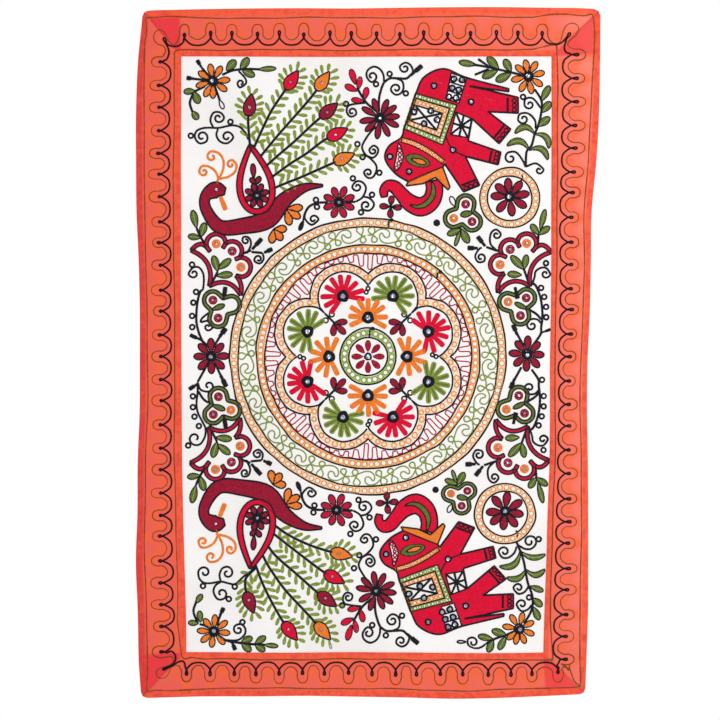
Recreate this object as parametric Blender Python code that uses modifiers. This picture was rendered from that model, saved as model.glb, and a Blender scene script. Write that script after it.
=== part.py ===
"""Embroidered wall hanging, 40 x 60 in, hanging flat from its top hem.

Origin: middle of the top edge, on the wall. +X to the viewer's right, -Y towards the viewer, +Z up. Metres.
Back to front: the strips' turned hems, the ground cloth, the strips' faces, the mirrors.
"""

import bmesh
import bpy
from math import cos, pi, radians, sin
from mathutils import Vector
from mathutils.bvhtree import BVHTree

CLOTH_THICK = 0.0010  # cotton and the stitches through it
INNER_HEM_EXTRA = 0.0005  # the strip's inner edge is turned under and so stands higher
LAYER_GAP = 0.00035  # between two layers that lie on each other
MITRE_SHIFT = 0.00025  # each strip stops this short of the corner's diagonal, measured along the strip
FOLD_RADIUS = (CLOTH_THICK + 2 * LAYER_GAP) / 2  # inside of the strip's turn round the ground's edge
FOLD_STEPS = 4
CORNER_INSET = 0.0040  # corners are rounded off by this much each way
GROUND_CORNER_INSET = 0.0052

BACK_Y = -CLOTH_THICK  # inner face of the turned hem
GROUND_Y = BACK_Y - LAYER_GAP  # back of the ground cloth
FRONT_Y = GROUND_Y - CLOTH_THICK - LAYER_GAP  # inner face of the strip's front
TURN_Y = (BACK_Y + FRONT_Y) / 2

# The strip from its outer fold to its inner edge: fold, hem line, middle, inner hem line, edge.
BAND = (0.0, 0.17, 0.50, 0.84, 1.0)
GROUND_COLUMNS = 24
GROUND_ROWS = 38
BAND_STEPS = len(BAND) - 1
COLUMNS = GROUND_COLUMNS + 2 * BAND_STEPS
ROWS = GROUND_ROWS + 2 * BAND_STEPS

# Side edges, by the drop below the top: outer fold and inner edge of the left and right strips. Millimetres.
SIDE_EDGES = {
    "drop": (0, 119, 230, 340, 451, 561, 672, 782, 892, 1003, 1113, 1224, 1334, 1445, 1522),
    "left": (-506, -516, -520, -520, -519, -514, -511.5, -511.5, -512, -516, -516.5, -520, -516, -513.5, -508),
    "left_inner": (-420, -420, -420, -420.5, -420, -420, -420, -419.5, -419, -418, -416, -413, -410, -408.5, -408),
    "right_inner": (398, 398, 398, 397.5, 397, 397, 396, 394, 394, 393, 389, 386, 382, 379, 379),
    "right": (506, 505, 502.5, 496, 486, 484.5, 482, 477, 476, 478, 478.5, 478.5, 478, 474.5, 472),
}
# Top and bottom edges, by the distance across. Millimetres above the origin.
LEVEL_EDGES = {
    "across": (-515, -467, -378, -268, -157, -47, 64, 174, 285, 395, 461, 510),
    "top": (-6, -4.4, -2.4, -0.8, -0.2, -0.8, 0.8, 2, 2.2, 0.8, 0, -3),
    "top_inner": (-107, -107, -107, -107.5, -108, -108, -107.5, -107.5, -107, -107, -107, -107),
    "bottom_inner": (-1422, -1422, -1422.5, -1423, -1423, -1422, -1423, -1424, -1424, -1423, -1422, -1421),
    "bottom": (-1523, -1522, -1520, -1519.5, -1518, -1520, -1522, -1525, -1522.5, -1518.5, -1515.5, -1514),
}
# Soft swells of the hanging cloth: height, waves per metre across, waves per metre down, start.
SWELLS = {
    "height": (0.0015, 0.0008, 0.0007),
    "across": (2.3, 4.1, 0.7),
    "down": (0.35, -0.8, 2.2),
    "start": (0.4, 2.1, 1.1),
}
FLAT_TOP = 0.040  # the top hem lies flat on the wall
EASE_LENGTH = 0.30
FOOT_LIFT = 0.004  # the bottom edge stands a little forward
FOOT_LENGTH = 0.25

# Mirrors: middle across and below the top edge, in millimetres.
DESIGN_CENTRE = (-7.7, -770.0)
DAISY_RINGS = {"count": (4, 8), "radius": (86.0, 141.5), "first": (0.0, 22.5)}
ROUND_MIRROR = 0.0160
SMALL_MIRROR = 0.0105
FLOWER_MIRROR = 0.0120
MIRROR_THICK = 0.0010
MIRROR_SIDES = 18
UPPER_ELEPHANT = {
    "across": (41, 83, 180, 138, 220, 182, 200, 178, 193, 171, 187, 94, 131, 116, 145),
    "down": (329, 362, 314, 172, 208, 157, 159, 177, 181, 197, 199, 230, 227, 256, 247),
}
LOWER_ELEPHANT = {
    "across": (32, 76, 169, 125, 208, 156, 173, 163, 180, 169, 184, 107, 135, 83, 116),
    "down": (1206, 1170, 1217, 1356, 1320, 1334, 1328, 1350, 1345, 1367, 1361, 1277, 1279, 1294, 1303),
}
FLOWERS = {
    "across": (-352, 346, -348, 328, -355, 344, 304, 295),
    "down": (161, 150, 1376, 1372, 770, 767, 417, 1111),
}


def clear_scene():
    for item in list(bpy.data.objects):
        bpy.data.objects.remove(item, do_unlink=True)


def between(table, key_name, value_name, key):
    """A smooth curve through one column of a table, in metres."""
    keys = [k / 1000 for k in table[key_name]]
    values = [v / 1000 for v in table[value_name]]
    if key <= keys[0]:
        return values[0]
    if key >= keys[-1]:
        return values[-1]
    n = max(i for i in range(len(keys) - 1) if keys[i] <= key)
    t = (key - keys[n]) / (keys[n + 1] - keys[n])
    before = values[max(n - 1, 0)]
    after = values[min(n + 2, len(values) - 1)]
    a, b = values[n], values[n + 1]
    bend = (b - before) * t + (2 * before - 5 * a + 4 * b - after) * t * t + (3 * a - before - 3 * b + after) * t ** 3
    return a + bend / 2


def swell(x, z):
    """How far the cloth stands forward of the wall at a place."""
    drop = -z
    t = min(max((drop - FLAT_TOP) / EASE_LENGTH, 0.0), 1.0)
    ease = t * t * (3 - 2 * t)
    total = 0.0
    for height, across, down, start in zip(*SWELLS.values()):
        total += height * (1 + sin(2 * pi * (across * x + down * drop) + start))
    foot = min(max((drop - 1.52 + FOOT_LENGTH) / FOOT_LENGTH, 0.0), 1.0)
    return ease * total + FOOT_LIFT * foot * foot


def share(n, ground_steps, steps):
    """Where line n of the lattice lies: which zone (outer, ground or far band) and how far through it."""
    if n <= BAND_STEPS:
        return 0, BAND[n]
    if n >= steps - BAND_STEPS:
        return 2, 1 - BAND[steps - n]
    return 1, (n - BAND_STEPS) / ground_steps


def lattice(i, j, corner_inset):
    """The point (x, z) where column i and row j of the cloth cross."""
    row_zone, row_t = share(j, GROUND_ROWS, ROWS)
    column_zone, column_t = share(i, GROUND_COLUMNS, COLUMNS)
    drop = (row_t * 0.107, 0.107 + row_t * 1.315, 1.422 + row_t * 0.098)[row_zone]
    sides = [between(SIDE_EDGES, "drop", name, drop) for name in ("left", "left_inner", "right_inner", "right")]
    sides[0] += 0.0019
    sides[3] -= 0.0019
    x = sides[column_zone] + column_t * (sides[column_zone + 1] - sides[column_zone])
    names = ("top", "top_inner", "bottom_inner", "bottom")
    levels = [between(LEVEL_EDGES, "across", name, x) for name in names]
    levels[0] -= 0.0019
    levels[3] += 0.0019
    z = levels[row_zone] + row_t * (levels[row_zone + 1] - levels[row_zone])
    if i in (0, COLUMNS) and j in (0, ROWS):
        x += corner_inset if i == 0 else -corner_inset
        z += -corner_inset if j == 0 else corner_inset
    return x, z


def falls_right(i, j):
    """Whether the cloth cell is split from its upper left corner, so that all layers bend alike."""
    return (i < COLUMNS / 2) == (j < ROWS / 2)


def new_object(name, mesh, collection, material):
    item = bpy.data.objects.new(name, mesh)
    mesh.materials.append(material)
    collection.objects.link(item)
    return item


def thicken(item, thickness, base_share=1.0):
    solid = item.modifiers.new("thickness", "SOLIDIFY")
    solid.thickness = thickness
    solid.offset = 1.0
    solid.use_even_offset = True
    if base_share < 1.0:
        solid.vertex_group = "thick"
        solid.thickness_vertex_group = base_share


def open_sheet(level_y):
    """The ground cloth's surface at one depth, as vertices and triangles facing the viewer."""
    points = []
    for j in range(ROWS + 1):
        for i in range(COLUMNS + 1):
            x, z = lattice(i, j, GROUND_CORNER_INSET)
            points.append((x, level_y - swell(x, z), z))
    wide = COLUMNS + 1
    faces = []
    for j in range(ROWS):
        for i in range(COLUMNS):
            a, b = j * wide + i, j * wide + i + 1
            c, d = b + wide, a + wide
            faces += [(a, c, b), (a, d, c)] if falls_right(i, j) else [(a, d, b), (b, d, c)]
    return points, faces


def make_ground(collection, material):
    points, faces = open_sheet(GROUND_Y)
    mesh = bpy.data.meshes.new("ground_cloth")
    mesh.from_pydata(points, [], faces)
    item = new_object("ground_cloth", mesh, collection, material)
    thicken(item, CLOTH_THICK)
    return item


def strip_section():
    """The strip from its back hem round the fold to its inner edge.

    Each station is (lattice line, outward offset, depth, thick share).
    """
    stations = [(1, 0.0, BACK_Y, 0.0), (0, 0.0, BACK_Y, 0.0)]
    for n in range(1, FOLD_STEPS):
        turn = pi * n / FOLD_STEPS
        stations.append((0, FOLD_RADIUS * sin(turn), TURN_Y + FOLD_RADIUS * cos(turn), 0.0))
    for line in range(BAND_STEPS + 1):
        stations.append((line, 0.0, FRONT_Y, 1.0 if line >= BAND_STEPS - 1 else 0.0))
    return stations


def strip_point(side, station, along, last):
    """A point of a strip, and which lattice column and row it belongs to."""
    line, outward, depth, _ = station
    upright = side in ("left", "right")
    far = side in ("right", "bottom")
    across_last = COLUMNS if upright else ROWS
    across_index = across_last - line if far else line
    i, j = (across_index, along) if upright else (along, across_index)
    x, z = lattice(i, j, CORNER_INSET)
    forward = swell(x, z)
    push = outward if far else -outward
    at_start, at_end = along == line, along == last - line
    slide = 0.0
    if at_start:
        slide = MITRE_SHIFT - outward
    elif at_end:
        slide = outward - MITRE_SHIFT
    if upright:
        x += push
        z -= slide
    else:
        z -= push
        x += slide
    return (x, depth - forward, z), i, j


def make_strip(side, collection, material):
    last = ROWS if side in ("left", "right") else COLUMNS
    stations = strip_section()
    points, shares, index, cell = [], [], {}, {}
    for s, station in enumerate(stations):
        for along in range(station[0], last - station[0] + 1):
            point, i, j = strip_point(side, station, along, last)
            index[s, along] = len(points)
            cell[s, along] = (i, j)
            points.append(point)
            shares.append(station[3])
    faces = []
    for s in range(len(stations) - 1):
        for along in range(last):
            corners = [(s, along), (s + 1, along), (s + 1, along + 1), (s, along + 1)]
            present = [index[c] for c in corners if c in index]
            if len(present) < 3:
                continue
            if len(present) == 3:
                faces.append(tuple(present))
                continue
            a, b, c, d = present
            columns_rows = [cell[corner] for corner in corners]
            i = min(pair[0] for pair in columns_rows)
            j = min(pair[1] for pair in columns_rows)
            first_diagonal = falls_right(i, j) == (side in ("left", "top"))
            faces += [(a, b, c), (a, c, d)] if first_diagonal else [(a, b, d), (b, c, d)]
    mesh = bpy.data.meshes.new("border_" + side)
    mesh.from_pydata(points, [], faces)
    front = [face for face in mesh.polygons if face.center.y < FRONT_Y and face.area > 0.0002]
    if sum(face.normal.y for face in front) > 0:
        mesh.flip_normals()
    item = new_object("border_" + side, mesh, collection, material)
    group = item.vertex_groups.new(name="thick")
    for n, weight in enumerate(shares):
        group.add([n], weight, "REPLACE")
    thicken(item, CLOTH_THICK + INNER_HEM_EXTRA, CLOTH_THICK / (CLOTH_THICK + INNER_HEM_EXTRA))
    return item


def rest_on_cloth(cloth, x, z, radius):
    """Middle and facing of a disc that lies in front of the cloth with the layer gap."""
    toward = Vector((0, 1, 0))
    touches = []
    for n in range(12):
        turn = 2 * pi * n / 12
        start = Vector((x + radius * cos(turn), -0.2, z + radius * sin(turn)))
        touches.append(cloth.ray_cast(start, toward)[0])
    middle = sum(touches, Vector()) / len(touches)
    facing = Vector()
    for n in range(12):
        facing += (touches[n] - middle).cross(touches[(n + 3) % 12] - middle)
    facing.normalize()
    if facing.y > 0:
        facing.negate()
    centre_touch = cloth.ray_cast(Vector((x, -0.2, z)), toward)[0]
    reach = max((touch - middle).dot(facing) for touch in touches + [centre_touch])
    return middle + facing * (reach + LAYER_GAP + MIRROR_THICK / 2), facing


def make_mirror(name, x, drop, width, cloth, collection, material):
    """One cut of mirror glass, a plain disc."""
    middle, facing = rest_on_cloth(cloth, x / 1000, -drop / 1000, width / 2)
    work = bmesh.new()
    bmesh.ops.create_cone(
        work, cap_ends=True, segments=MIRROR_SIDES, radius1=width / 2, radius2=width / 2, depth=MIRROR_THICK
    )
    mesh = bpy.data.meshes.new(name)
    work.to_mesh(mesh)
    work.free()
    item = new_object(name, mesh, collection, material)
    item.rotation_mode = "QUATERNION"
    item.rotation_quaternion = Vector((0, 0, 1)).rotation_difference(facing)
    item.location = middle
    return item


def make_mirrors(collection, material):
    points, faces = open_sheet(GROUND_Y - CLOTH_THICK)
    cloth = BVHTree.FromPolygons(points, faces)
    spots = [("round_01", DESIGN_CENTRE[0], -DESIGN_CENTRE[1], ROUND_MIRROR)]
    for count, radius, first in zip(*DAISY_RINGS.values()):
        for n in range(count):
            turn = radians(first + 360 * n / count)
            x = DESIGN_CENTRE[0] + radius * cos(turn)
            drop = -DESIGN_CENTRE[1] - radius * sin(turn)
            spots.append(("round_%02d" % (len(spots) + 1), x, drop, ROUND_MIRROR))
    groups = (
        ("upper_elephant", UPPER_ELEPHANT, SMALL_MIRROR),
        ("lower_elephant", LOWER_ELEPHANT, SMALL_MIRROR),
        ("flower", FLOWERS, FLOWER_MIRROR),
    )
    for label, table, width in groups:
        for n, (x, drop) in enumerate(zip(table["across"], table["down"])):
            spots.append(("%s_%02d" % (label, n + 1), x, drop, width))
    for label, x, drop, width in spots:
        make_mirror("mirror_" + label, x, drop, width, cloth, collection, material)


def plain_material(name, colour, roughness, metallic=0.0):
    material = bpy.data.materials.new(name)
    material.use_nodes = True
    shader = material.node_tree.nodes["Principled BSDF"]
    shader.inputs["Base Color"].default_value = (*colour, 1.0)
    shader.inputs["Roughness"].default_value = roughness
    shader.inputs["Metallic"].default_value = metallic
    return material


def main():
    clear_scene()
    collection = bpy.data.collections.new("embroidered_wall_hanging")
    bpy.context.scene.collection.children.link(collection)
    ground = plain_material("off_white_cotton", (0.90, 0.88, 0.86), 0.9)
    border = plain_material("salmon_cotton", (0.80, 0.15, 0.09), 0.9)
    glass = plain_material("shisha_mirror", (0.62, 0.65, 0.72), 0.1, 1.0)
    make_ground(collection, ground)
    for side in ("left", "right", "top", "bottom"):
        make_strip(side, collection, border)
    make_mirrors(collection, glass)


main()
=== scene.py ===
import math
import random

import bpy
import numpy as np
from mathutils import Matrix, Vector


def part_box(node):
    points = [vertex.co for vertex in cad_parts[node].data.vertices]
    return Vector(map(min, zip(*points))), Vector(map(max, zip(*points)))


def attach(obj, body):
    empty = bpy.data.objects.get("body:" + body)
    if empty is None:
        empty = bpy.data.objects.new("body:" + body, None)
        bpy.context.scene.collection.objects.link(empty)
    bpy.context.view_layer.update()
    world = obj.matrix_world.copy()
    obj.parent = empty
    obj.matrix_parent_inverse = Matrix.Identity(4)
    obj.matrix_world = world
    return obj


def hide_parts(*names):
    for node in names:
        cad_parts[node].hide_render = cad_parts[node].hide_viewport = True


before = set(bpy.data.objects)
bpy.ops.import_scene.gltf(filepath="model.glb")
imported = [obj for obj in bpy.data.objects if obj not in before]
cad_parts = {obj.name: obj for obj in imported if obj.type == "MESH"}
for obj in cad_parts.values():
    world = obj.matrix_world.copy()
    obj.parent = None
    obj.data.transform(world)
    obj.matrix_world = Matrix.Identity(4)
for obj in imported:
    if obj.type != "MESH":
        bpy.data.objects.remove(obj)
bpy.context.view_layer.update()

# Embroidered wall hanging. Everything is in metres in the frame of the imported model: the origin is the middle
# of the top edge on the wall, x to the right, z up, and the front faces -y. Motifs are placed in chart
# squares. One square is one pixel of the reference photo, 2.209 mm of cloth, counted right and down, and the
# places are read off the photo.

chart = {
    "square": 0.002209,
    "middle": 371.5,  # the column that falls on x = 0
    "top": 8.0,  # the row that falls on z = 0
    "designX": 368.0,  # middle of the round design
    "designY": 356.6,
}

cloth = {
    "thick": 0.0010,
    "gap": 0.00035,
    "hemExtra": 0.0005,
    "turnRadius": 0.00085,
    "foldReach": 0.0019,  # the fold's way out from the ground's edge to the outline
    "cornerRound": 0.013,
}
cloth["backY"] = -cloth["thick"]
cloth["groundBack"] = cloth["backY"] - cloth["gap"]
cloth["groundFront"] = cloth["groundBack"] - cloth["thick"]
cloth["stripBack"] = cloth["groundFront"] - cloth["gap"]
cloth["stripFront"] = cloth["stripBack"] - cloth["thick"]

# where the edges run, in millimetres: the sides by the drop below the top, the levels by the distance across
sideEdges = {
    "drop": (0, 119, 230, 340, 451, 561, 672, 782, 892, 1003, 1113, 1224, 1334, 1445, 1522),
    "left": (
        -506, -516, -520, -520, -519, -514, -511.5, -511.5, -512, -516, -516.5, -520, -516, -513.5, -508,
    ),
    "leftInner": (
        -420, -420, -420, -420.5, -420, -420, -420, -419.5, -419, -418, -416, -413, -410, -408.5, -408,
    ),
    "rightInner": (398, 398, 398, 397.5, 397, 397, 396, 394, 394, 393, 389, 386, 382, 379, 379),
    "right": (506, 505, 502.5, 496, 486, 484.5, 482, 477, 476, 478, 478.5, 478.5, 478, 474.5, 472),
}
levelEdges = {
    "across": (-515, -467, -378, -268, -157, -47, 64, 174, 285, 395, 461, 510),
    "top": (-6, -4.4, -2.4, -0.8, -0.2, -0.8, 0.8, 2, 2.2, 0.8, 0, -3),
    "topInner": (-107, -107, -107, -107.5, -108, -108, -107.5, -107.5, -107, -107, -107, -107),
    "bottomInner": (-1422, -1422, -1422.5, -1423, -1423, -1422, -1423, -1424, -1424, -1423, -1422, -1421),
    "bottom": (-1523, -1522, -1520, -1519.5, -1518, -1520, -1522, -1525, -1522.5, -1518.5, -1515.5, -1514),
}
# in metres, about how far down the top edge, the two strips' inner edges and the lowest edge lie
stripDrops = (0, 0.107, 1.422, 1.52)
swells = {
    "height": (0.0015, 0.0008, 0.0007),
    "across": (2.3, 4.1, 0.7),
    "down": (0.35, -0.8, 2.2),
    "start": (0.4, 2.1, 1.1),
    "flatTop": 0.040,
    "ease": 0.30,
    "footLift": 0.004,
    "footLength": 0.25,
}

dice = random.Random(41)
sand = np.random.default_rng(7)


def between(table, keyName, valueName, key):
    # smooth curve through one column of an edge table, in metres
    keys = np.array(table[keyName], float) / 1000
    values = np.array(table[valueName], float) / 1000
    key = np.clip(np.asarray(key, float), keys[0], keys[-1])
    n = np.clip(np.searchsorted(keys, key, side="right") - 1, 0, len(keys) - 2)
    t = (key - keys[n]) / (keys[n + 1] - keys[n])
    before, a = values[np.maximum(n - 1, 0)], values[n]
    b, after = values[n + 1], values[np.minimum(n + 2, len(values) - 1)]
    bend = (b - before) * t + (2 * before - 5 * a + 4 * b - after) * t ** 2
    bend = bend + (3 * a - before - 3 * b + after) * t ** 3
    return a + bend / 2


def swell(x, z):
    # how far the cloth stands forward of the wall
    drop = -z
    t = np.clip((drop - swells["flatTop"]) / swells["ease"], 0, 1)
    total = 0.0
    waves = zip(*(swells[name] for name in ("height", "across", "down", "start")))
    for height, across, down, start in waves:
        total = total + height * (1 + np.sin(2 * np.pi * (across * x + down * drop) + start))
    foot = np.clip((drop - stripDrops[3] + swells["footLength"]) / swells["footLength"], 0, 1)
    return t * t * (3 - 2 * t) * total + swells["footLift"] * foot * foot


def place(a, b):
    # a runs 0-1 over the left strip, 1-2 over the ground and 2-3 over the right strip, and b does the same
    # from top to bottom
    reach = cloth["foldReach"]
    a, b = np.broadcast_arrays(np.asarray(a, float), np.asarray(b, float))
    drop = np.interp(b, (0, 1, 2, 3), stripDrops)
    sides = [between(sideEdges, "drop", name, drop) for name in ("left", "leftInner", "rightInner", "right")]
    sides[0], sides[3] = sides[0] + reach, sides[3] - reach
    x = shareOut(a, sides)
    levels = [between(levelEdges, "across", name, x) for name in ("top", "topInner", "bottomInner", "bottom")]
    levels[0], levels[3] = levels[0] - reach, levels[3] + reach
    return roundCorners(x, shareOut(b, levels))


def shareOut(along, edges):
    # the place between two neighbours of the four edges
    zone = np.clip(along.astype(int), 0, 2)
    start = np.choose(zone, edges[:3])
    return start + (along - zone) * (np.choose(zone, edges[1:]) - start)


def roundCorners(x, z):
    # pulls the last bit of each corner in onto an arc
    r, reach = cloth["cornerRound"], cloth["foldReach"]
    for sideName, sideSign in (("left", -1), ("right", 1)):
        for levelName, levelSign in (("top", 1), ("bottom", -1)):
            cornerDrop = sideEdges["drop"][0 if levelName == "top" else -1] / 1000
            cornerX = between(sideEdges, "drop", sideName, cornerDrop) - sideSign * reach
            cornerZ = between(levelEdges, "across", levelName, cornerX) - levelSign * reach
            px = (x - (cornerX - sideSign * r)) * sideSign
            pz = (z - (cornerZ - levelSign * r)) * levelSign
            far = np.hypot(np.maximum(px, 0), np.maximum(pz, 0))
            square = np.maximum(px, pz)
            inCorner = (px > 0) & (pz > 0)
            keep = np.where(inCorner, square / np.maximum(far, 1e-9), 1.0)
            x = np.where(inCorner, cornerX - sideSign * r + sideSign * px * keep, x)
            z = np.where(inCorner, cornerZ - levelSign * r + levelSign * pz * keep, z)
    return x, z


def hexLinear(code):
    parts = [int(code[n:n + 2], 16) / 255 for n in (1, 3, 5)]
    return tuple(p / 12.92 if p <= 0.04045 else ((p + 0.055) / 1.055) ** 2.4 for p in parts)


def setInputs(tree, node, inputs):
    # an input takes a socket to link, a colour of three numbers or a plain value
    for name, value in inputs.items():
        if isinstance(value, bpy.types.NodeSocket):
            tree.links.new(value, node.inputs[name])
        else:
            node.inputs[name].default_value = (*value, 1.0) if isinstance(value, tuple) else value


def addNode(tree, kind, settings, inputs, output=0):
    node = tree.nodes.new(kind)
    for name, value in settings.items():
        setattr(node, name, value)
    setInputs(tree, node, inputs)
    return node.outputs[output] if len(node.outputs) else None


def newMaterial(name):
    material = bpy.data.materials.new(name)
    material.use_nodes = True
    tree = material.node_tree
    return material, tree, addNode(tree, "ShaderNodeTexCoord", {}, {}, "Object")


def surface(tree, inputs, height=None, strength=0.0, distance=0.0):
    # fills in the surface's inputs, with a bump as deep as distance where a height is given
    if height is not None:
        bump = {"Strength": strength, "Distance": distance, "Height": height}
        inputs = {**inputs, "Normal": addNode(tree, "ShaderNodeBump", {}, bump)}
    setInputs(tree, tree.nodes["Principled BSDF"], inputs)


def paint(tree, colour, *coats):
    # lays one colour over another, each by its own mask
    for mask, over in coats:
        colour = addNode(tree, "ShaderNodeMix", {"data_type": "RGBA"}, {0: mask, 6: colour, 7: over}, 2)
    return colour


def patches(tree, spot, cloud, span, reach=(0.0, 1.0)):
    # soft clouds of a scale, detail and roughness, with a span of their values stretched to a new reach
    noise = addNode(tree, "ShaderNodeTexNoise", {}, {"Vector": spot, **cloud})
    stretch = {0: noise, 1: span[0], 2: span[1], 3: reach[0], 4: reach[1]}
    return addNode(tree, "ShaderNodeMapRange", {}, stretch)


def weave(tree, spot, threadSize, depth):
    # over-and-under of a plain weave: two crossed waves of one thread width, the larger one on top; gives
    # their height and a mask of the gaps between the threads, which the cloths use to paint shade there
    bands = {}
    for n, direction in enumerate(("X", "Z")):
        settings = {"wave_type": "BANDS", "bands_direction": direction, "wave_profile": "SIN"}
        inputs = {"Vector": spot, "Scale": 1 / (2 * threadSize) / math.pi}
        inputs.update({"Distortion": 0.6, "Detail": 1.0, "Detail Scale": 2.0})
        bands[n] = addNode(tree, "ShaderNodeTexWave", settings, inputs, "Fac")
    cells = addNode(tree, "ShaderNodeMath", {"operation": "MAXIMUM"}, bands)
    return cells, addNode(tree, "ShaderNodeMapRange", {}, {0: cells, 1: 0.2, 2: 0.9, 3: depth, 4: 0.0})


def groundMaterial():
    # off-white cotton in plain weave: a warm white that lies flat like paper, with a faint slub and a dry,
    # matt surface; the thread is drawn more than twice as coarse as real, so that the weave shows; the gaps
    # between the threads are painted a darker grey as shade
    facts = {"colour": "#F7F4F2", "slub": "#ECE8E5", "gaps": "#CFC8C4", "thread": 0.0012}
    material, tree, spot = newMaterial("off_white_plain_weave_cotton")
    cells, gaps = weave(tree, spot, facts["thread"], 0.10)
    slub = patches(tree, spot, {"Scale": 6.0, "Detail": 3.0}, (0.35, 0.75))
    base, *coats = (hexLinear(facts[name]) for name in ("colour", "slub", "gaps"))
    # the gaps colour is painted shade between the threads
    colour = paint(tree, base, (slub, coats[0]), (gaps, coats[1]))
    surface(tree, {"Base Color": colour, "Roughness": 0.92, "Sheen Weight": 0.15}, cells, 0.35, 0.0006)
    return material


def borderMaterial():
    # salmon cotton voile over itself: one layer is pink salmon, the doubled hems and corners go to a fuller
    # orange red, and the dye has run orange in patches that follow the wave line; the weave is drawn as
    # coarse as the ground's. Light and shade are painted in too: the border is paler towards the upper right,
    # the top hem is lighter and the left one darker, and the gaps between the threads get a dark red shade
    # pale is the colour of painted light, dark the painted shade of the doubled hems, and gaps the painted
    # shade between the threads
    facts = {
        "single": "#EC5B4B", "pale": "#F8806C", "orange": "#F4622F", "double": "#F8582F", "dark": "#D92E24",
        "corner": "#EA2F38", "gaps": "#B5301F", "thread": 0.0012,
    }
    tones = {name: hexLinear(code) for name, code in facts.items() if name != "thread"}
    material, tree, spot = newMaterial("salmon_plain_weave_cotton")
    cells, gaps = weave(tree, spot, facts["thread"], 0.16)
    masks = {}
    for name in ("warm", "hem", "corner", "pale", "hem_painted_light"):
        masks[name] = addNode(tree, "ShaderNodeAttribute", {"attribute_name": name}, {}, "Fac")
    cloudy = patches(tree, spot, {"Scale": 26.0, "Detail": 3.0, "Roughness": 0.6}, (0.30, 0.62), (0.15, 1.0))
    fine = patches(tree, spot, {"Scale": 90.0, "Detail": 2.0}, (0.25, 0.7), (0.70, 1.0))
    streak = patches(tree, spot, {"Scale": 75.0, "Detail": 4.0, "Roughness": 0.65}, (0.36, 0.66))
    warm = addNode(tree, "ShaderNodeMath", {"operation": "MULTIPLY"}, {0: masks["warm"], 1: cloudy})
    hem = addNode(tree, "ShaderNodeMath", {"operation": "MULTIPLY"}, {0: masks["hem"], 1: fine})
    add = {"operation": "ADD", "use_clamp": True}
    # random streaks plus painted light and shade by side: the top hem is painted lighter, the left one darker
    hem_painted_light = addNode(tree, "ShaderNodeMath", add, {0: streak, 1: masks["hem_painted_light"]})
    # the doubled hems run from a painted-shade red (dark) to their lit colour (double)
    doubled = paint(tree, tones["dark"], (hem_painted_light, tones["double"]))
    # the pale coat paints light over the border, strongest towards the upper right
    coats = [(masks["pale"], tones["pale"]), (warm, tones["orange"]), (masks["corner"], tones["corner"])]
    # the last coat, in the gaps between the threads, is painted shade
    colour = paint(tree, tones["single"], *coats, (hem, doubled), (gaps, tones["gaps"]))
    surface(tree, {"Base Color": colour, "Roughness": 0.88, "Sheen Weight": 0.12}, cells, 0.4, 0.0006)
    return material


def threadMaterial(name, code, spread):
    # twisted art-silk thread: each stitch takes the light a little differently, and the ply shows as fine
    # streaks
    material, tree, spot = newMaterial(name)
    tone = addNode(tree, "ShaderNodeAttribute", {"attribute_name": "tone"}, {}, "Fac")
    cloud = {"Vector": spot, "Scale": 700.0, "Detail": 2.0, "Roughness": 0.7}
    ply = addNode(tree, "ShaderNodeTexNoise", {}, cloud)
    streaks = addNode(tree, "ShaderNodeMapRange", {}, {0: ply, 1: 0.3, 2: 0.7, 3: 0.0, 4: 0.30})
    base = hexLinear(code)
    dark = tuple(c * (1 - spread) for c in base)
    light = tuple(min(1.0, c * (1 + spread * 0.7) + 0.002) for c in base)
    colour = paint(tree, dark, (tone, light), (streaks, tuple(c * 0.6 for c in base)))
    finish = {"Base Color": colour, "Roughness": 0.55, "Sheen Weight": 0.01, "Specular IOR Level": 0.08}
    surface(tree, finish, ply, 0.5, 0.0004)
    return material


def mirrorMaterial():
    # hand-cut silvered glass: grey-blue with soft ripples that catch the lamp here and there, and lighter
    # patches painted into its tint as reflections
    facts = {"dull": "#9096AA", "painted_reflection": "#B9BDCD", "ripple": 160.0}
    material, tree, spot = newMaterial("hand_cut_silvered_glass")
    cloud = {"Vector": spot, "Scale": facts["ripple"], "Detail": 1.0}
    ripple = addNode(tree, "ShaderNodeTexNoise", {}, cloud)
    # patches of lighter tint: painted reflection
    patch = patches(tree, spot, {"Scale": 90.0, "Detail": 2.0}, (0.35, 0.7))
    colour = paint(tree, hexLinear(facts["dull"]), (patch, hexLinear(facts["painted_reflection"])))
    surface(tree, {"Base Color": colour, "Metallic": 1.0, "Roughness": 0.30}, ripple, 1.0, 0.0030)
    return material


def floorMaterial():
    # painted studio floor: near white and matt, so that it stays behind the cloth
    facts = {"light": "#F1F1F0", "dark": "#ECECEB"}
    material, tree, spot = newMaterial("matt_studio_floor")
    grain = patches(tree, spot, {"Scale": 3.0, "Detail": 2.0}, (0.3, 0.7))
    colour = paint(tree, hexLinear(facts["light"]), (grain, hexLinear(facts["dark"])))
    surface(tree, {"Base Color": colour, "Roughness": 0.9})
    return material


def meshPiece(name, points, faces, material, values=None):
    mesh = bpy.data.meshes.new(name)
    points = np.asarray(points, np.float32)
    faces = np.asarray(faces, np.int32)
    mesh.vertices.add(len(points))
    mesh.vertices.foreach_set("co", points.ravel())
    side = faces.shape[1]
    mesh.loops.add(faces.size)
    mesh.loops.foreach_set("vertex_index", faces.ravel())
    mesh.polygons.add(len(faces))
    mesh.polygons.foreach_set("loop_start", np.arange(0, faces.size, side, dtype=np.int32))
    mesh.polygons.foreach_set("use_smooth", np.full(len(faces), True))
    for key, value in (values or {}).items():
        layer = mesh.attributes.new(key, "FLOAT", "POINT")
        layer.data.foreach_set("value", np.asarray(value, np.float32))
    mesh.update(calc_edges=True)
    mesh.validate()
    mesh.materials.append(material)
    piece = bpy.data.objects.new(name, mesh)
    bpy.context.scene.collection.objects.link(piece)
    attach(piece, "root")
    return piece


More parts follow.
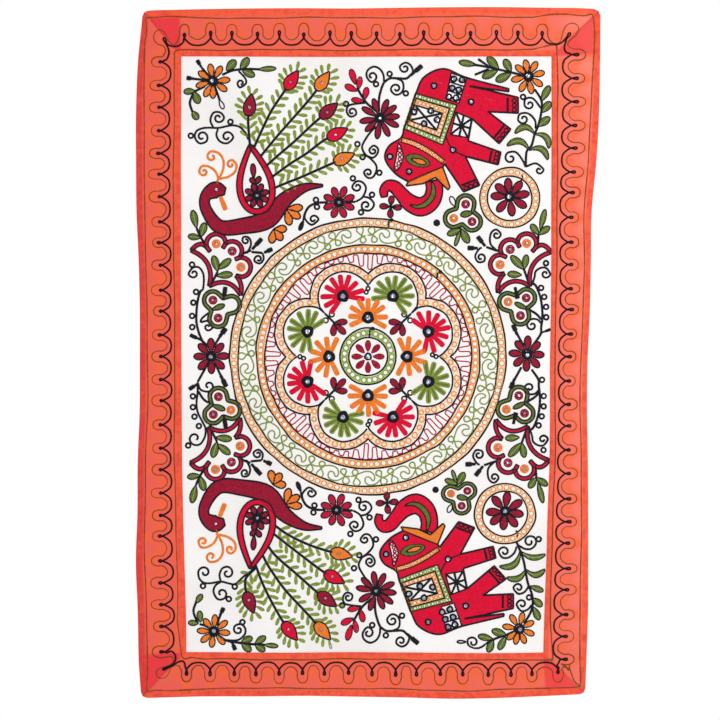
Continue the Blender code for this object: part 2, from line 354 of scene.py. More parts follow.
def closedSheet(front, back):
    # front and back are grids of points; joins them with a rim into one closed skin
    rows, columns = front.shape[:2]
    points = np.concatenate([front.reshape(-1, 3), back.reshape(-1, 3)])
    index = np.arange(rows * columns).reshape(rows, columns)
    a, b, c, d = index[:-1, :-1], index[:-1, 1:], index[1:, 1:], index[1:, :-1]
    face = np.stack([a, d, c, b], -1).reshape(-1, 4)
    far = rows * columns
    rim = np.concatenate([index[0, :], index[1:, -1], index[-1, -2::-1], index[-2:0:-1, 0]])
    after = np.roll(rim, -1)
    edge = np.stack([rim, after, after + far, rim + far], -1)
    return points, np.concatenate([face, face[:, ::-1] + far, edge])


def cockle(x, z):
    # small pulls that the stitching leaves in the cloth, less than half a millimetre
    low = np.sin(31 * x + 9 * np.sin(13 * z)) * np.sin(27 * z + 7 * np.sin(17 * x))
    fine = np.sin(96 * x + 5 * np.sin(61 * z)) * np.sin(88 * z + 4 * np.sin(53 * x))
    return 0.00030 * low + 0.00012 * fine


def makeGround(material):
    facts = {"columns": 88, "rows": 148, "underStrip": 12, "flat": (1.000, 1.519)}
    ends = facts["underStrip"]
    grid = []
    for count in (facts["columns"], facts["rows"]):
        parts = [np.linspace(0, 1, ends)[:-1], np.linspace(1, 2, count), np.linspace(2, 3, ends)[1:]]
        grid.append(np.concatenate(parts))
    a, b = grid[0][None, :], grid[1][:, None]
    x, z = place(a, b)
    inside = (a > 1.02) & (a < 1.98) & (b > 1.02) & (b < 1.98)
    forward = swell(x, z) + cockle(x, z) * inside
    front = np.stack([x, cloth["groundFront"] - forward, z], -1)
    back = np.stack([x, cloth["groundBack"] - forward, z], -1)
    points, faces = closedSheet(front, back)
    piece = meshPiece("embroidered_ground", points, faces, material)
    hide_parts("ground_cloth")


def bandSpot(side, along, inset):
    # along is 0-3 down or across the cloth, inset is 0 at the outer fold and 1 at the strip's inner edge
    along, inset = np.asarray(along, float), np.asarray(inset, float)
    if side == "left":
        return place(inset, along)
    if side == "right":
        return place(3 - inset, along)
    if side == "top":
        return place(along, inset)
    return place(along, 3 - inset)


# where the two hem lines run across each strip: 0 at the outer fold and 1 at the inner edge
hemLines = {"left": (0.165, 0.832), "right": (0.163, 0.868), "top": (0.185, 0.860), "bottom": (0.168, 0.842)}


def makeStrip(side, material):
    upright = side in ("left", "right")
    # section from the back hem round the fold to the inner edge: inset, outward, inner depth, outer depth
    radius, thick = cloth["turnRadius"], cloth["thick"]
    turnY = (cloth["backY"] + cloth["stripBack"]) / 2
    section = [(t, 0.0, cloth["backY"], 0.0) for t in (0.175, 0.12, 0.06, 0.0)]
    for n in range(1, 8):
        turn = math.pi * n / 8
        out = math.sin(turn)
        inner, outer = turnY + radius * math.cos(turn), turnY + (radius + thick) * math.cos(turn)
        section.append((0.0, out, inner, outer))
    low, high = hemLines[side]
    outer, inner = (low - 0.015, low, low + 0.015), (high - 0.025, high, high + 0.025)
    spots = (0.0, 0.05, 0.10, *outer, 0.25, 0.33, 0.41, 0.5, 0.58, 0.66, 0.74, *inner, 0.93, 0.97, 1.0)
    for t in spots:
        extra = cloth["hemExtra"] * np.interp(t, (high - 0.015, high + 0.015, 0.97, 1.0), (0, 1, 1, 0.7))
        section.append((t, 0.0, cloth["stripBack"], cloth["stripFront"] - extra))
    inset, out, innerY, outerY = np.array(section).T[:, None, :]
    steps = {"band": 10, "middle": 170 if upright else 110}
    s = np.linspace(0, 1, steps["band"])[:-1, None]
    first = inset + (1 - inset) * s
    middle = np.repeat(np.linspace(1, 2, steps["middle"])[:, None], inset.shape[1], 1)
    along = np.concatenate([first, middle, 3 - first[::-1]])
    x, z = bandSpot(side, along, np.repeat(inset, len(along), 0))
    push = {"left": (-1, 0), "right": (1, 0), "top": (0, 1), "bottom": (0, -1)}[side]
    ends = np.interp(along, (0, 0.02, 2.98, 3), (1, 0, 0, -1)) * (inset == 0)
    lengthwise = (0, 1) if upright else (-1, 0)
    forward = swell(x, z)
    puckers = hemPuckers(side, along, inset) * (np.arange(len(section)) > 10)
    layers = []
    for depth, reach in ((innerY, radius), (outerY, radius + thick)):
        px = x + reach * out * (push[0] + ends * lengthwise[0])
        pz = z + reach * out * (push[1] + ends * lengthwise[1])
        depth = np.where(depth == outerY, depth - puckers, depth)
        layers.append(np.stack([px, depth - forward, pz], -1))
    points, faces = closedSheet(layers[1], layers[0])
    if side in ("left", "bottom"):
        faces = faces[:, ::-1]
    masks = borderMasks(side, along, np.repeat(inset, len(along), 0), x, z)
    values = {key: np.concatenate([value.ravel(), value.ravel()]) for key, value in masks.items()}
    piece = meshPiece("border_strip_" + side, points, faces, material, values)
    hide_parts("border_" + side)


def hemPuckers(side, along, inset):
    # little gathers along the two stitched hem lines
    start = {"left": 0.3, "right": 1.9, "top": 3.1, "bottom": 4.7}[side]
    run = np.interp(along, (0, 1, 2, 3), (0, 0.1, 1.4 if side in ("left", "right") else 0.9, 1.5))
    gather = np.sin(260 * run + start + 2.5 * np.sin(41 * run)) * np.sin(97 * run + 2 * start)
    nearLine = np.exp(-((inset - 0.09) / 0.09) ** 2) + np.exp(-((inset - 0.92) / 0.08) ** 2)
    broad = np.sin(55 * run + start) * np.sin(math.pi * inset) * 0.5
    return 0.00035 * (gather * nearLine + broad) * (inset > 0.02)


def borderMasks(side, along, inset, x, z):
    # warm follows the wave line, hem is the doubled cloth, corner the lapped ends; pale is painted light
    # towards the upper right, and the last mask paints light and shade on the hems by side
    loops = loopPlaces(side)
    position = chartAlong(side, x, z)
    nearest = np.abs(position[..., None] - np.array(loops)[None, None, :]).min(-1)
    wave = 0.40 + 0.17 * np.cos(np.pi * np.clip(nearest / 12, 0, 1))
    warm = np.exp(-((inset - (0.82 - wave)) / 0.16) ** 2)
    warm = np.maximum(warm, 0.8 * np.exp(-((inset - 0.80) / 0.06) ** 2))
    low, high = hemLines[side]
    outerHem, innerHem = (low - 0.01 - inset) / 0.02, (inset - high - 0.01) / 0.02
    hem = np.clip(np.maximum(outerHem, innerHem), 0, 1)
    # where one strip's end lies over the next, the cloth is double and redder
    near = along if side in ("top", "right") else 3 - along
    redder = {"top": 1.0, "right": 0.75, "bottom": 0.8, "left": 1.0}[side]
    corner = redder * np.clip((1.0 - near) / 0.02, 0, 1)
    # painted light: the border is painted paler towards the right and the top, where the light falls
    pale = np.interp(x, (-0.45, 0.40, 0.47), (0.0, 0.45, 1.0))
    pale = pale * np.interp(z, (-1.5, -1.3, -0.2, 0), (0.55, 0.7, 0.9, 1))
    # painted light and shade on the hems: the top outer hem is pushed lighter and the left outer hem darker
    hem_painted_light = np.where(inset < 0.5, {"left": -0.5, "top": 0.5}.get(side, 0.2), 0.25)
    return {"warm": np.clip(warm, 0, 1), "hem": hem, "corner": corner, "pale": pale, "hem_painted_light": hem_painted_light}


def chartAlong(side, x, z):
    if side in ("left", "right"):
        return chart["top"] - z / chart["square"]
    return chart["middle"] + x / chart["square"]


def loopPlaces(side):
    # the little loops along each strip, in chart squares, stepped off by hand and so not quite even
    facts = {
        "left": {"first": 62.9, "last": 650.2, "count": 27, "seed": 3},
        "right": {"first": 54.4, "last": 660.6, "count": 27, "seed": 5},
        "top": {"first": 185.4, "last": 543.0, "count": 16, "seed": 8},
        "bottom": {"first": 187.0, "last": 556.2, "count": 17, "seed": 11},
    }[side]
    uneven = random.Random(facts["seed"])
    step = (facts["last"] - facts["first"]) / (facts["count"] - 1)
    return [facts["first"] + n * step + uneven.uniform(-1.6, 1.6) for n in range(facts["count"])]


# thread colours, as they read on the cloth
threads = {
    "black": {"material": "black_art_silk_chain", "colour": "#1B1A21", "spread": 0.5, "weight": 2.1},
    "plum": {"material": "plum_black_art_silk_chain", "colour": "#230B15", "spread": 0.4, "weight": 2.0},
    "red": {"material": "scarlet_art_silk_chain", "colour": "#DE0C36", "spread": 0.20},
    "crimson": {"material": "crimson_art_silk_chain", "colour": "#BE173C", "spread": 0.34},
    "maroon": {"material": "maroon_art_silk_chain", "colour": "#9C1733", "spread": 0.34},
    "orange": {"material": "orange_art_silk_chain", "colour": "#F4812F", "spread": 0.25},
    "amber": {"material": "amber_art_silk_ringlets", "colour": "#EF9440", "spread": 0.22},
    "apricot": {"material": "apricot_art_silk_filling", "colour": "#F4B070", "spread": 0.14},
    "peach": {"material": "peach_art_silk_filling", "colour": "#F9CFA2", "spread": 0.12},
    "leaf": {"material": "leaf_green_art_silk_chain", "colour": "#637433", "spread": 0.40},
    "moss": {"material": "moss_green_art_silk_chain", "colour": "#87993F", "spread": 0.32},
    "lime": {"material": "pale_lime_art_silk_ringlets", "colour": "#A9BE66", "spread": 0.25},
    "olive": {"material": "olive_brown_cotton_chain", "colour": "#86461C", "spread": 0.3},
}
sewing = {"region": "round_design", "base": "ground", "turn": None}
# widths below are the drawn ones; a worked stitch spreads by this much or by its thread's own weight
handWeight = 1.80
strokes = {}


def turned(points):
    # moves across, turns over about a level and squashes, as the motif in hand asks
    points = np.asarray(points, float)
    if sewing["turn"] is None:
        return points
    across, level, squash, spread = sewing["turn"]
    return points * (spread, -squash) + (across, level)


def sew(points, thread, width=3.0, closed=False, stitch=3.7, coarse=False, lift=0.0):
    # one run of chain stitch along points of the chart; width and stitch in millimetres
    points = turned(points)
    if len(points) < 2:
        return
    key = (sewing["region"], thread)
    run = {"points": points, "width": width, "closed": closed, "stitch": stitch, "coarse": coarse}
    run.update({"lift": lift, "base": sewing["base"], "weight": threads[thread].get("weight", handWeight)})
    strokes.setdefault(key, []).append(run)


def lengths(points):
    # how far along a line each of its points lies
    return np.concatenate([[0], np.cumsum(np.hypot(*np.diff(points, axis=0).T))])


def pointAt(at, reach, points):
    # the point of a line at a length along it
    return np.stack([np.interp(at, reach, points[:, k]) for k in (0, 1)], -1)


def sideways(slope):
    # unit vectors across a line, from its slopes
    slope = slope / np.maximum(np.hypot(slope[:, 0], slope[:, 1]), 1e-9)[:, None]
    return np.stack([-slope[:, 1], slope[:, 0]], -1)


def acrossLine(middle, closed=False):
    # unit vectors across a line, from its points
    if closed:
        return sideways(np.roll(middle, -1, 0) - np.roll(middle, 1, 0))
    return sideways(np.gradient(middle, axis=0))


def around(middle, side, half):
    # the ring round a leaf or petal
    return np.concatenate([middle + side * half[:, None], (middle - side * half[:, None])[-2:0:-1]])


def smooth(points, closed=False, per=7):
    # a soft curve through a few given points
    p = np.asarray(points, float)
    if len(p) < 3:
        return p
    if closed:
        ring = np.concatenate([p[-1:], p, p[:2]])
    else:
        ring = np.concatenate([2 * p[:1] - p[1:2], p, 2 * p[-1:] - p[-2:-1]])
    t = np.linspace(0, 1, per, endpoint=False)[:, None]
    parts = []
    for n in range(1, len(ring) - 2):
        a, b, c, d = ring[n - 1], ring[n], ring[n + 1], ring[n + 2]
        curve = 2 * b + (c - a) * t + (2 * a - 5 * b + 4 * c - d) * t ** 2 + (3 * b - a - 3 * c + d) * t ** 3
        parts.append(curve / 2)
    if not closed:
        parts.append(p[-1:])
    return np.concatenate(parts)


def line(points, thread="black", width=3.0, closed=False, **more):
    sew(smooth(points, closed), thread, width, closed, **more)


def wobble(points, size, pitch=9.0):
    # the drift of a hand-guided hook: a slow random walk laid over a drawn path
    points = np.asarray(points, float)
    reach = lengths(points)
    count = max(3, int(reach[-1] / pitch))
    drift = sand.normal(0, size, (count + 1, 2))
    drift[-1] = drift[0]
    at = reach / max(reach[-1], 1e-6) * count
    low = np.floor(at).astype(int).clip(0, count - 1)
    mix = (at - low)[:, None]
    mix = mix * mix * (3 - 2 * mix)
    return points + drift[low] * (1 - mix) + drift[low + 1] * mix


def circle(x, y, radius, thread="black", width=3.0, drift=0.0, **more):
    count = max(12, int(radius * 2.2))
    turn = np.linspace(0, 2 * np.pi, count, endpoint=False) + dice.uniform(0, 6)
    points = np.stack([x + radius * np.cos(turn), y - radius * np.sin(turn)], -1)
    if drift:
        points = wobble(points, drift, 14.0)
    sew(points, thread, width, closed=True, **more)


def polar(x, y, radius, degrees):
    turn = np.radians(degrees)
    return np.stack([x + radius * np.cos(turn), y - radius * np.sin(turn)], -1)


def scroll(stem, centre, turns=1.25, way=1, thread="black", width=3.0, tight=0.22):
    # a stem that runs into a spiral; way is 1 for anticlockwise as seen and -1 for clockwise
    stem = [tuple(p) for p in stem]
    cx, cy = centre
    lastX, lastY = stem[-1]
    radius = math.hypot(lastX - cx, lastY - cy)
    start = math.atan2(-(lastY - cy), lastX - cx)
    steps = max(6, int(turns * 9))
    coil = []
    for n in range(1, steps + 1):
        t = n / steps
        r = radius * (1 - (1 - tight) * t ** 0.9)
        turn = start + way * turns * 2 * math.pi * t
        coil.append((cx + r * math.cos(turn), cy - r * math.sin(turn)))
    sew(smooth(stem + coil, per=4), thread, width)


def loop(x, y, radius=2.4, thread="black", width=2.6):
    circle(x, y, radius, thread, width, stitch=3.2)


def limb(base, tip, width, belly=0.55, bend=0.0, steps=11, point=0.5):
    # the middle line of a leaf or petal, the way across it, and its half width; a point of 0.5 is a round tip
    base, tip = np.array(base, float), np.array(tip, float)
    t = 0.5 - 0.5 * np.cos(np.linspace(0, np.pi, steps))
    way = tip - base
    across = np.array([-way[1], way[0]])
    middle = base + way * t[:, None] + across * (bend * 4 * t * (1 - t))[:, None]
    slope = way + across * (bend * 4 * (1 - 2 * t))[:, None]
    power = math.log(0.5) / math.log(belly)
    half = width / 2 * np.sin(np.pi * np.clip(t ** power, 0, 1)) ** np.where(t < belly, 0.64, point)
    return middle, sideways(slope), half


def petal(base, tip, width, thread, outline="black", belly=0.6, via=None, edge=2.4, vein=None, lift=0.0,
          point=0.5):
    # a leaf, petal or bud: rows of chain stitch inside an outline; a bent one arches through the point via
    bend = 0.0
    if via is not None:
        way = np.subtract(tip, base)
        off = np.subtract(via, np.add(tip, base) / 2)
        bend = (off[1] * way[0] - off[0] * way[1]) / (way @ way)
    middle, side, half = limb(base, tip, width, belly, bend, point=point)
    if outline:
        ring = smooth(around(middle, side, half), True, 3)
        sew(ring, outline, edge, closed=True, lift=lift + 0.35, coarse=True)
    if thread is None:
        return
    t = np.linspace(0, 1, len(middle))
    fine = np.linspace(0, 1, 41)
    reach = np.interp(fine, t, half) - (0.2 if outline else 0.3)
    top = max(reach.max() - 0.45, 0.1)
    rows = max(1, int(round(2 * top / 1.1)) + 1)
    for n in range(rows):
        offset = 0.0 if rows == 1 else (n / (rows - 1) * 2 - 1) * top
        inside = fine[reach > abs(offset)]
        if len(inside) < 3:
            continue
        inside = np.linspace(inside[0], inside[-1], 7)
        sew(pointAt(inside, t, middle + side * offset), thread, 2.7, coarse=True, stitch=3.4, lift=lift)
    if vein:
        sew(middle[2:-2], vein, 1.8, lift=0.25, coarse=True)


def plainPetal(base, tip, width, thread):
    # a daisy petal: one long loop of thread round a single row, with no outline
    middle, side, _ = limb(base, tip, width, 0.55)
    t = np.linspace(-1, 1, len(middle))
    half = (width / 2 - 0.75) * np.clip(1 - t ** 6, 0, 1) ** 0.5 * np.interp(t, (-1, 0.2, 1), (0.6, 1, 1))
    ring = smooth(around(middle, side, half), True, 2)
    sew(ring, "moss" if thread == "leaf" else thread, 2.7, closed=True, stitch=3.3, lift=0.2)
    sew(middle[1:-1], thread, 4.2, coarse=True, stitch=3.3)


def fillShape(outline, thread, angle=0.0, gap=1.22, holes=(), wave=0.25, lift=0.0):
    # rows of chain stitch laid side by side across a closed shape; angle in degrees, gap in chart squares
    turn = math.radians(angle)
    spin = np.array([[math.cos(turn), -math.sin(turn)], [math.sin(turn), math.cos(turn)]])
    rings = [np.asarray(ring, float) @ spin.T for ring in (outline, *holes)]
    low, high = rings[0][:, 1].min(), rings[0][:, 1].max()
    y = low + gap * 0.3
    while y < high:
        level = y + dice.uniform(-0.12, 0.12)
        cuts = []
        for ring in rings:
            after = np.roll(ring, -1, 0)
            cross = (ring[:, 1] > level) != (after[:, 1] > level)
            share = (level - ring[cross, 1]) / (after[cross, 1] - ring[cross, 1])
            cuts.extend(ring[cross, 0] + share * (after[cross, 0] - ring[cross, 0]))
        cuts.sort()
        for start, end in zip(cuts[::2], cuts[1::2]):
            start, end = start + 0.1, end - 0.1
            if end - start < 1.0:
                continue
            count = max(2, int((end - start) / 6) + 1)
            x = np.linspace(start, end, count)
            row = np.stack([x, level + wave * np.sin(x * 0.21 + y * 0.13)], -1) @ spin
            sew(row, thread, 2.9, coarse=True, lift=lift)
        y += gap


def ringlets(path, pitch, radius, thread, width=2.3, closed=True, sway=0.0):
    # a row of small rings stepped off along a line of the chart
    path = np.asarray(path, float)
    if closed:
        path = np.concatenate([path, path[:1]])
    reach = lengths(path)
    count = max(1, int(round(reach[-1] / pitch)))
    for n in range(count if closed else count + 1):
        at = reach[-1] * (n + dice.uniform(-0.13, 0.13)) / count
        at = at % reach[-1] if closed else min(max(at, 0), reach[-1])
        x, y = pointAt(at, reach, path)
        r = radius * dice.uniform(0.90, 1.10)
        turn = np.linspace(0, 2 * np.pi, 14, endpoint=False) + dice.uniform(0, 1)
        squash = dice.uniform(0.90, 1.0)
        x, y = x + dice.uniform(-sway, sway), y + dice.uniform(-sway, sway)
        points = np.stack([x + r * squash * np.cos(turn), y + r * np.sin(turn)], -1)
        sew(points, thread, width, closed=True, stitch=4.2, coarse=True, lift=0.2)


mirrorSpots = []


def mirrorRing(x, y, glass, ring, thread="black", own=False):
    # the buttonhole ring that holds a mirror: glass is the width seen and ring the width over the thread, in
    # millimetres, and own tells that the mirror has no node
    x, y = turned((x, y))
    mirrorSpots.append({"x": x, "y": y, "glass": glass, "ring": ring, "thread": thread, "own": own})


def clothDepth(x, z, base):
    forward = swell(x, z)
    if base == "border":
        inner = [between(levelEdges, "across", name, x) for name in ("topInner", "bottomInner")]
        sides = [between(sideEdges, "drop", name, -z) for name in ("leftInner", "rightInner")]
        near = np.minimum(np.abs(z - inner[0]), np.abs(z - inner[1]))
        near = np.minimum(near, np.minimum(np.abs(x - sides[0]), np.abs(x - sides[1])))
        return cloth["stripFront"] - forward - cloth["hemExtra"] * (near < 0.016)
    return cloth["groundFront"] - forward - cockle(x, z)


def stitchRun(run):
    # chain stitch as a low padded line: pinched where each loop starts, full and grooved in its middle
    points = run["points"]
    if run["closed"]:
        points = np.concatenate([points, points[:1]])
    step = np.hypot(*np.diff(points, axis=0).T)
    points = points[np.concatenate([[True], step > 1e-6])]
    reach = lengths(points)
    length = reach[-1] * chart["square"] * 1000
    if length < 1.0:
        return None
    count = max(3 if run["closed"] else 1, int(round(length / run["stitch"])))
    at = np.linspace(0, reach[-1], 2 * count + 1)
    if run["closed"]:
        at = at[:-1]
    middle = pointAt(at, reach, points)
    side = acrossLine(middle, run["closed"])
    full = (np.arange(len(middle)) % 2 == 1).astype(float)
    pinch = 0.12 if run["closed"] and length < 45 else 0.48 if run["width"] < 2.0 else 0.30
    half = run["width"] * run["weight"] / 2000 / chart["square"] * (1 - pinch + pinch * full)
    high = (0.00055 + 0.00022 * run["width"]) * (0.62 + 0.38 * full)
    if not run["closed"]:
        half[0], half[-1] = half[0] * 0.5, half[-1] * 0.5
        high[0], high[-1] = high[0] * 0.6, high[-1] * 0.6
    if run["coarse"]:
        across = np.array([-1.0, 0.0, 1.0])
        rise = np.repeat(np.array([[-0.25, 1.0, -0.25]]), len(middle), 0)
    else:
        across = np.array([-1.0, -0.55, 0.0, 0.55, 1.0])
        rise = np.stack([np.full(len(middle), -0.25), 0.75 + 0.25 * full, 0.9 - 0.25 * full], -1)
        rise = rise[:, [0, 1, 2, 1, 0]]
    spots = middle[:, None, :] + side[:, None, :] * (across[None, :, None] * half[:, None, None])
    x = (spots[..., 0] - chart["middle"]) * chart["square"]
    z = (chart["top"] - spots[..., 1]) * chart["square"]
    lift = run["lift"] / 1000 + 0.00002
    wide = len(across)
    tone = np.repeat(sand.normal(0.5, 0.2, count + 1), 2)[:len(middle)]
    tone = np.repeat(tone[:, None], wide, 1)
    index = np.arange(len(middle) * wide).reshape(len(middle), wide)
    following = np.roll(index, -1, 0) if run["closed"] else index[1:]
    index = index if run["closed"] else index[:-1]
    faces = np.stack([index[:, :-1], index[:, 1:], following[:, 1:], following[:, :-1]], -1).reshape(-1, 4)
    return x, z, rise * high[:, None] + lift, tone, faces


def stitchPieces():
    # turns the waiting runs into one mesh for each thread in each region
    materials = {}
    total = 0
    for (region, thread), runs in sorted(strokes.items()):
        facts = threads[thread]
        if thread not in materials:
            materials[thread] = threadMaterial(facts["material"], facts["colour"], facts["spread"])
        xs, zs, rises, tones, faces, bases, start = [], [], [], [], [], [], 0
        for run in runs:
            built = stitchRun(run)
            if built is None:
                continue
            x, z, rise, tone, face = built
            xs.append(x.ravel())
            zs.append(z.ravel())
            rises.append(rise.ravel())
            tones.append(tone.ravel())
            bases.append(np.full(x.size, run["base"] == "border"))
            faces.append(face + start)
            start += x.size
        x, z, rise = np.concatenate(xs), np.concatenate(zs), np.concatenate(rises)
        onBorder = np.concatenate(bases)
        depth = np.where(onBorder, clothDepth(x, z, "border"), clothDepth(x, z, "ground"))
        points = np.stack([x, depth - rise, z], -1)
        name = facts["material"] + "_" + region
        faces = np.concatenate(faces)
        piece = meshPiece(name, points, faces, materials[thread], {"tone": np.concatenate(tones)})
        total += 2 * len(faces)
        print("sewn", name, len(runs), "runs", 2 * len(faces), "triangles")
    print("embroidery:", total, "triangles")
    return materials


def ringFaces(rows, columns):
    # the quads between rings of points that lie one after another
    index = np.arange(rows * columns).reshape(rows, columns)
    after = np.roll(index, -1, 1)
    return np.stack([index[:-1], after[:-1], after[1:], index[1:]], -1).reshape(-1, 4)


def mirrorRings(materials):
    # a collar of radial stitches round each mirror; gives back the places and sizes of the small mirrors that
    # have no node of their own
    glassPoints = []
    groups = {}
    for spot in mirrorSpots:
        count = max(14, int(spot["ring"] * 1.15))
        turn = np.linspace(0, 2 * np.pi, 2 * count, endpoint=False)
        inner, outer = spot["glass"] / 2000, spot["ring"] / 2000
        ridge = (np.arange(2 * count) % 2).astype(float)
        across = (inner, inner + 0.0003, (inner + outer) / 2, outer - 0.0006, outer)
        rise = (0.0013, 0.0027, 0.0030, 0.0019, -0.0002)
        x0 = (spot["x"] - chart["middle"]) * chart["square"]
        z0 = (chart["top"] - spot["y"]) * chart["square"]
        wave = 1 + 0.05 * np.sin(3 * turn + spot["x"]) + 0.03 * np.sin(5 * turn + spot["y"])
        rings = []
        for reach, height in zip(across, rise):
            px, pz = x0 + reach * wave * np.cos(turn), z0 + reach * wave * np.sin(turn)
            lift = max(height, 0) * (0.80 + 0.20 * ridge) + min(height, 0)
            rings.append(np.stack([px, clothDepth(px, pz, "ground") - lift, pz], -1))
        points = np.stack(rings)
        tone = np.broadcast_to(sand.normal(0.5, 0.25, count).repeat(2)[None, :], points.shape[:2])
        store = groups.setdefault(spot["thread"], {"points": [], "faces": [], "tone": [], "start": 0})
        store["points"].append(points.reshape(-1, 3))
        store["faces"].append(ringFaces(*points.shape[:2]) + store["start"])
        store["tone"].append(tone.ravel())
        store["start"] += tone.size
        if spot["own"]:
            glassPoints.append((x0, z0, inner + 0.0008))
    for thread, store in groups.items():
        points, faces, tone = (np.concatenate(store[key]) for key in ("points", "faces", "tone"))
        piece = meshPiece("buttonhole_rings_" + thread, points, faces, materials[thread], {"tone": tone})
    return glassPoints


def smallMirrors(spots, material):
    # spangles too small for a solid of their own: thin domed discs
    sides = 16
    turn = np.linspace(0, 2 * np.pi, sides, endpoint=False)
    points, faces, start = [], [], 0
    for x0, z0, radius in spots:
        rings = []
        for reach, height in ((0.05, 0.00125), (0.6, 0.00115), (1.0, 0.0009), (1.0, 0.0002)):
            px, pz = x0 + radius * reach * np.cos(turn), z0 + radius * reach * np.sin(turn)
            rings.append(np.stack([px, clothDepth(px, pz, "ground") - height, pz], -1))
        points.extend(rings)
        faces.append(ringFaces(len(rings), sides) + start)
        start += len(rings) * sides
    piece = meshPiece("small_mirrors", np.concatenate(points), np.concatenate(faces), material)


def sewBorder():
    # two hem lines, the olive wave and the black looped scallop, each in one round of the four strips
    sewing.update({"region": "border", "base": "border"})
    facts = {
        "left": {"tip": 0.455, "neck": 0.545, "bulge": 0.750, "crest": 0.305, "trough": 0.650, "half": 5.2},
        "right": {"tip": 0.435, "neck": 0.575, "bulge": 0.777, "crest": 0.285, "trough": 0.650, "half": 5.2},
        "top": {"tip": 0.480, "neck": 0.595, "bulge": 0.765, "crest": 0.315, "trough": 0.650, "half": 5.2},
        "bottom": {"tip": 0.480, "neck": 0.600, "bulge": 0.775, "crest": 0.305, "trough": 0.680, "half": 5.3},
    }
    scallops, waves = {}, {}
    for side, look in facts.items():
        places = loopPlaces(side)
        uneven = random.Random(side)
        scallop, wave = [], []
        for n, spot in enumerate(places):
            neck = look["neck"]
            tip = look["tip"] + uneven.uniform(-0.025, 0.025)
            crest = look["crest"] + uneven.uniform(-0.03, 0.03)
            half = look["half"] + uneven.uniform(-0.5, 0.5)
            middle = (crest + look["trough"]) / 2
            scallop += [(spot - 1.0, neck + 0.04), (spot - 0.1, neck), (spot - 1.1, tip + 0.035), (spot, tip)]
            scallop += [(spot + 1.1, tip + 0.035), (spot + 0.1, neck), (spot + 1.0, neck + 0.04)]
            rising = ((-1, middle + 0.06), (-1, middle - 0.06), (-0.5, crest + 0.01))
            falling = tuple((-out, level) for out, level in rising[::-1])
            wave += [(spot + half * out, level) for out, level in rising + falling]
            if n + 1 < len(places):
                gap = places[n + 1] - spot
                bulge = look["bulge"] + uneven.uniform(-0.012, 0.012)
                trough = look["trough"] + uneven.uniform(-0.02, 0.02)
                for share, level in ((0.10, 0.46), (0.25, 0.86), (0.5, 1), (0.75, 0.86), (0.90, 0.46)):
                    scallop.append((spot + gap * share, neck + (bulge - neck) * level))
                for share, less in ((0.36, 0.02), (0.5, 0), (0.64, 0.02)):
                    wave.append((spot + gap * share, trough - less))
        scallops[side], waves[side] = alongSide(side, scallop), alongSide(side, wave)
    aroundBorder(scallops, scallopCorners, "plum", 2.3, 0.3)
    aroundBorder(waves, waveCorners, "olive", 1.9)
    for which, corners in ((0, outerHemCorners), (1, innerHemCorners)):
        lines = {}
        for side in facts:
            along = np.linspace(1.05, 1.95, 80)
            drift = 0.010 * np.sin(along * 17 + which * 27) + 0.006 * np.sin(along * 41 + which * 6)
            lines[side] = toChart(*bandSpot(side, along, hemLines[side][which] + drift))
        aroundBorder(lines, corners, "olive", 2.0)
    drawCornerKnot()
    sewing.update({"region": "round_design", "base": "ground"})


def aroundBorder(strips, corners, thread, width, lift=0.0):
    # along the top, down the right, back along the bottom and up the left, with a corner after each
    path = []
    order = (("top", "topRight"), ("right", "bottomRight"), ("bottom", "bottomLeft"), ("left", "topLeft"))
    for side, corner in order:
        run = strips[side] if side in ("top", "right") else strips[side][::-1]
        path += [tuple(point) for point in run] + list(corners[corner])
    sew(smooth(path, True, 4), thread, width, closed=True, stitch=3.3, lift=lift, coarse=thread == "olive")


# how the four lines go round each corner, in chart squares
scallopCorners = {
    "topRight": (
        (547, 42.6), (551.3, 44.2), (556.5, 44.6), (561, 43), (564.4, 40), (567.2, 36.4), (568.4, 33.4),
        (570.2, 33.2), (570, 35.4), (566.8, 38.8), (565.2, 43), (564.3, 48.5), (566, 52.4),
    ),
    "bottomRight": ((558.4, 662.6), (556.8, 665.2)),
    "bottomLeft": (
        (184.6, 662.0), (181.7, 660.6), (178.2, 661.7), (174.0, 664.4), (169, 667.0), (164.6, 669.3),
        (163, 668.8), (166, 666.9), (172.6, 664.2), (175.4, 660.4), (175.9, 656.8), (174.6, 653),
        (171.4, 650.8),
    ),
    "topLeft": (
        (167, 59.2), (168.8, 54.8), (169, 50.8), (167.2, 46), (164.9, 42.2), (163.2, 39.4), (164.2, 37.8),
        (165.8, 39.4), (166.6, 42.8), (168.6, 45.2), (172, 46.3), (176, 46.6), (180.5, 45), (183.8, 41.6),
    ),
}
waveCorners = {
    "topRight": (
        (550.2, 41), (554.2, 43.4), (558.4, 43.2), (561.1, 39.6), (562.8, 32), (566.5, 25.6), (571.4, 23.3),
        (576.4, 24.6), (578.7, 29), (576, 35.2), (570.5, 39.8), (567.9, 43.4), (568.8, 46.8), (572.6, 48.6),
    ),
    "bottomRight": ((569.4, 664.8), (568.2, 668), (564.6, 666.4), (561.6, 668)),
    "bottomLeft": (
        (178.6, 665.2), (173.6, 665.8), (170.6, 668.8), (168.8, 673.2), (165.4, 676.8), (160.8, 677.6),
        (157.2, 674.8), (157, 670.4), (160.8, 667.6), (166, 665.8), (171.4, 663.6), (173.8, 659.6),
        (171.8, 656),
    ),
    "topLeft": (
        (163.6, 55.6), (165.6, 51), (163.8, 46.4), (157.2, 43.8), (153.8, 38.7), (154.8, 33), (159.3, 30),
        (163.8, 31.9), (166.6, 36), (169.4, 41.8), (173.4, 44.6), (176.4, 43.4),
    ),
}
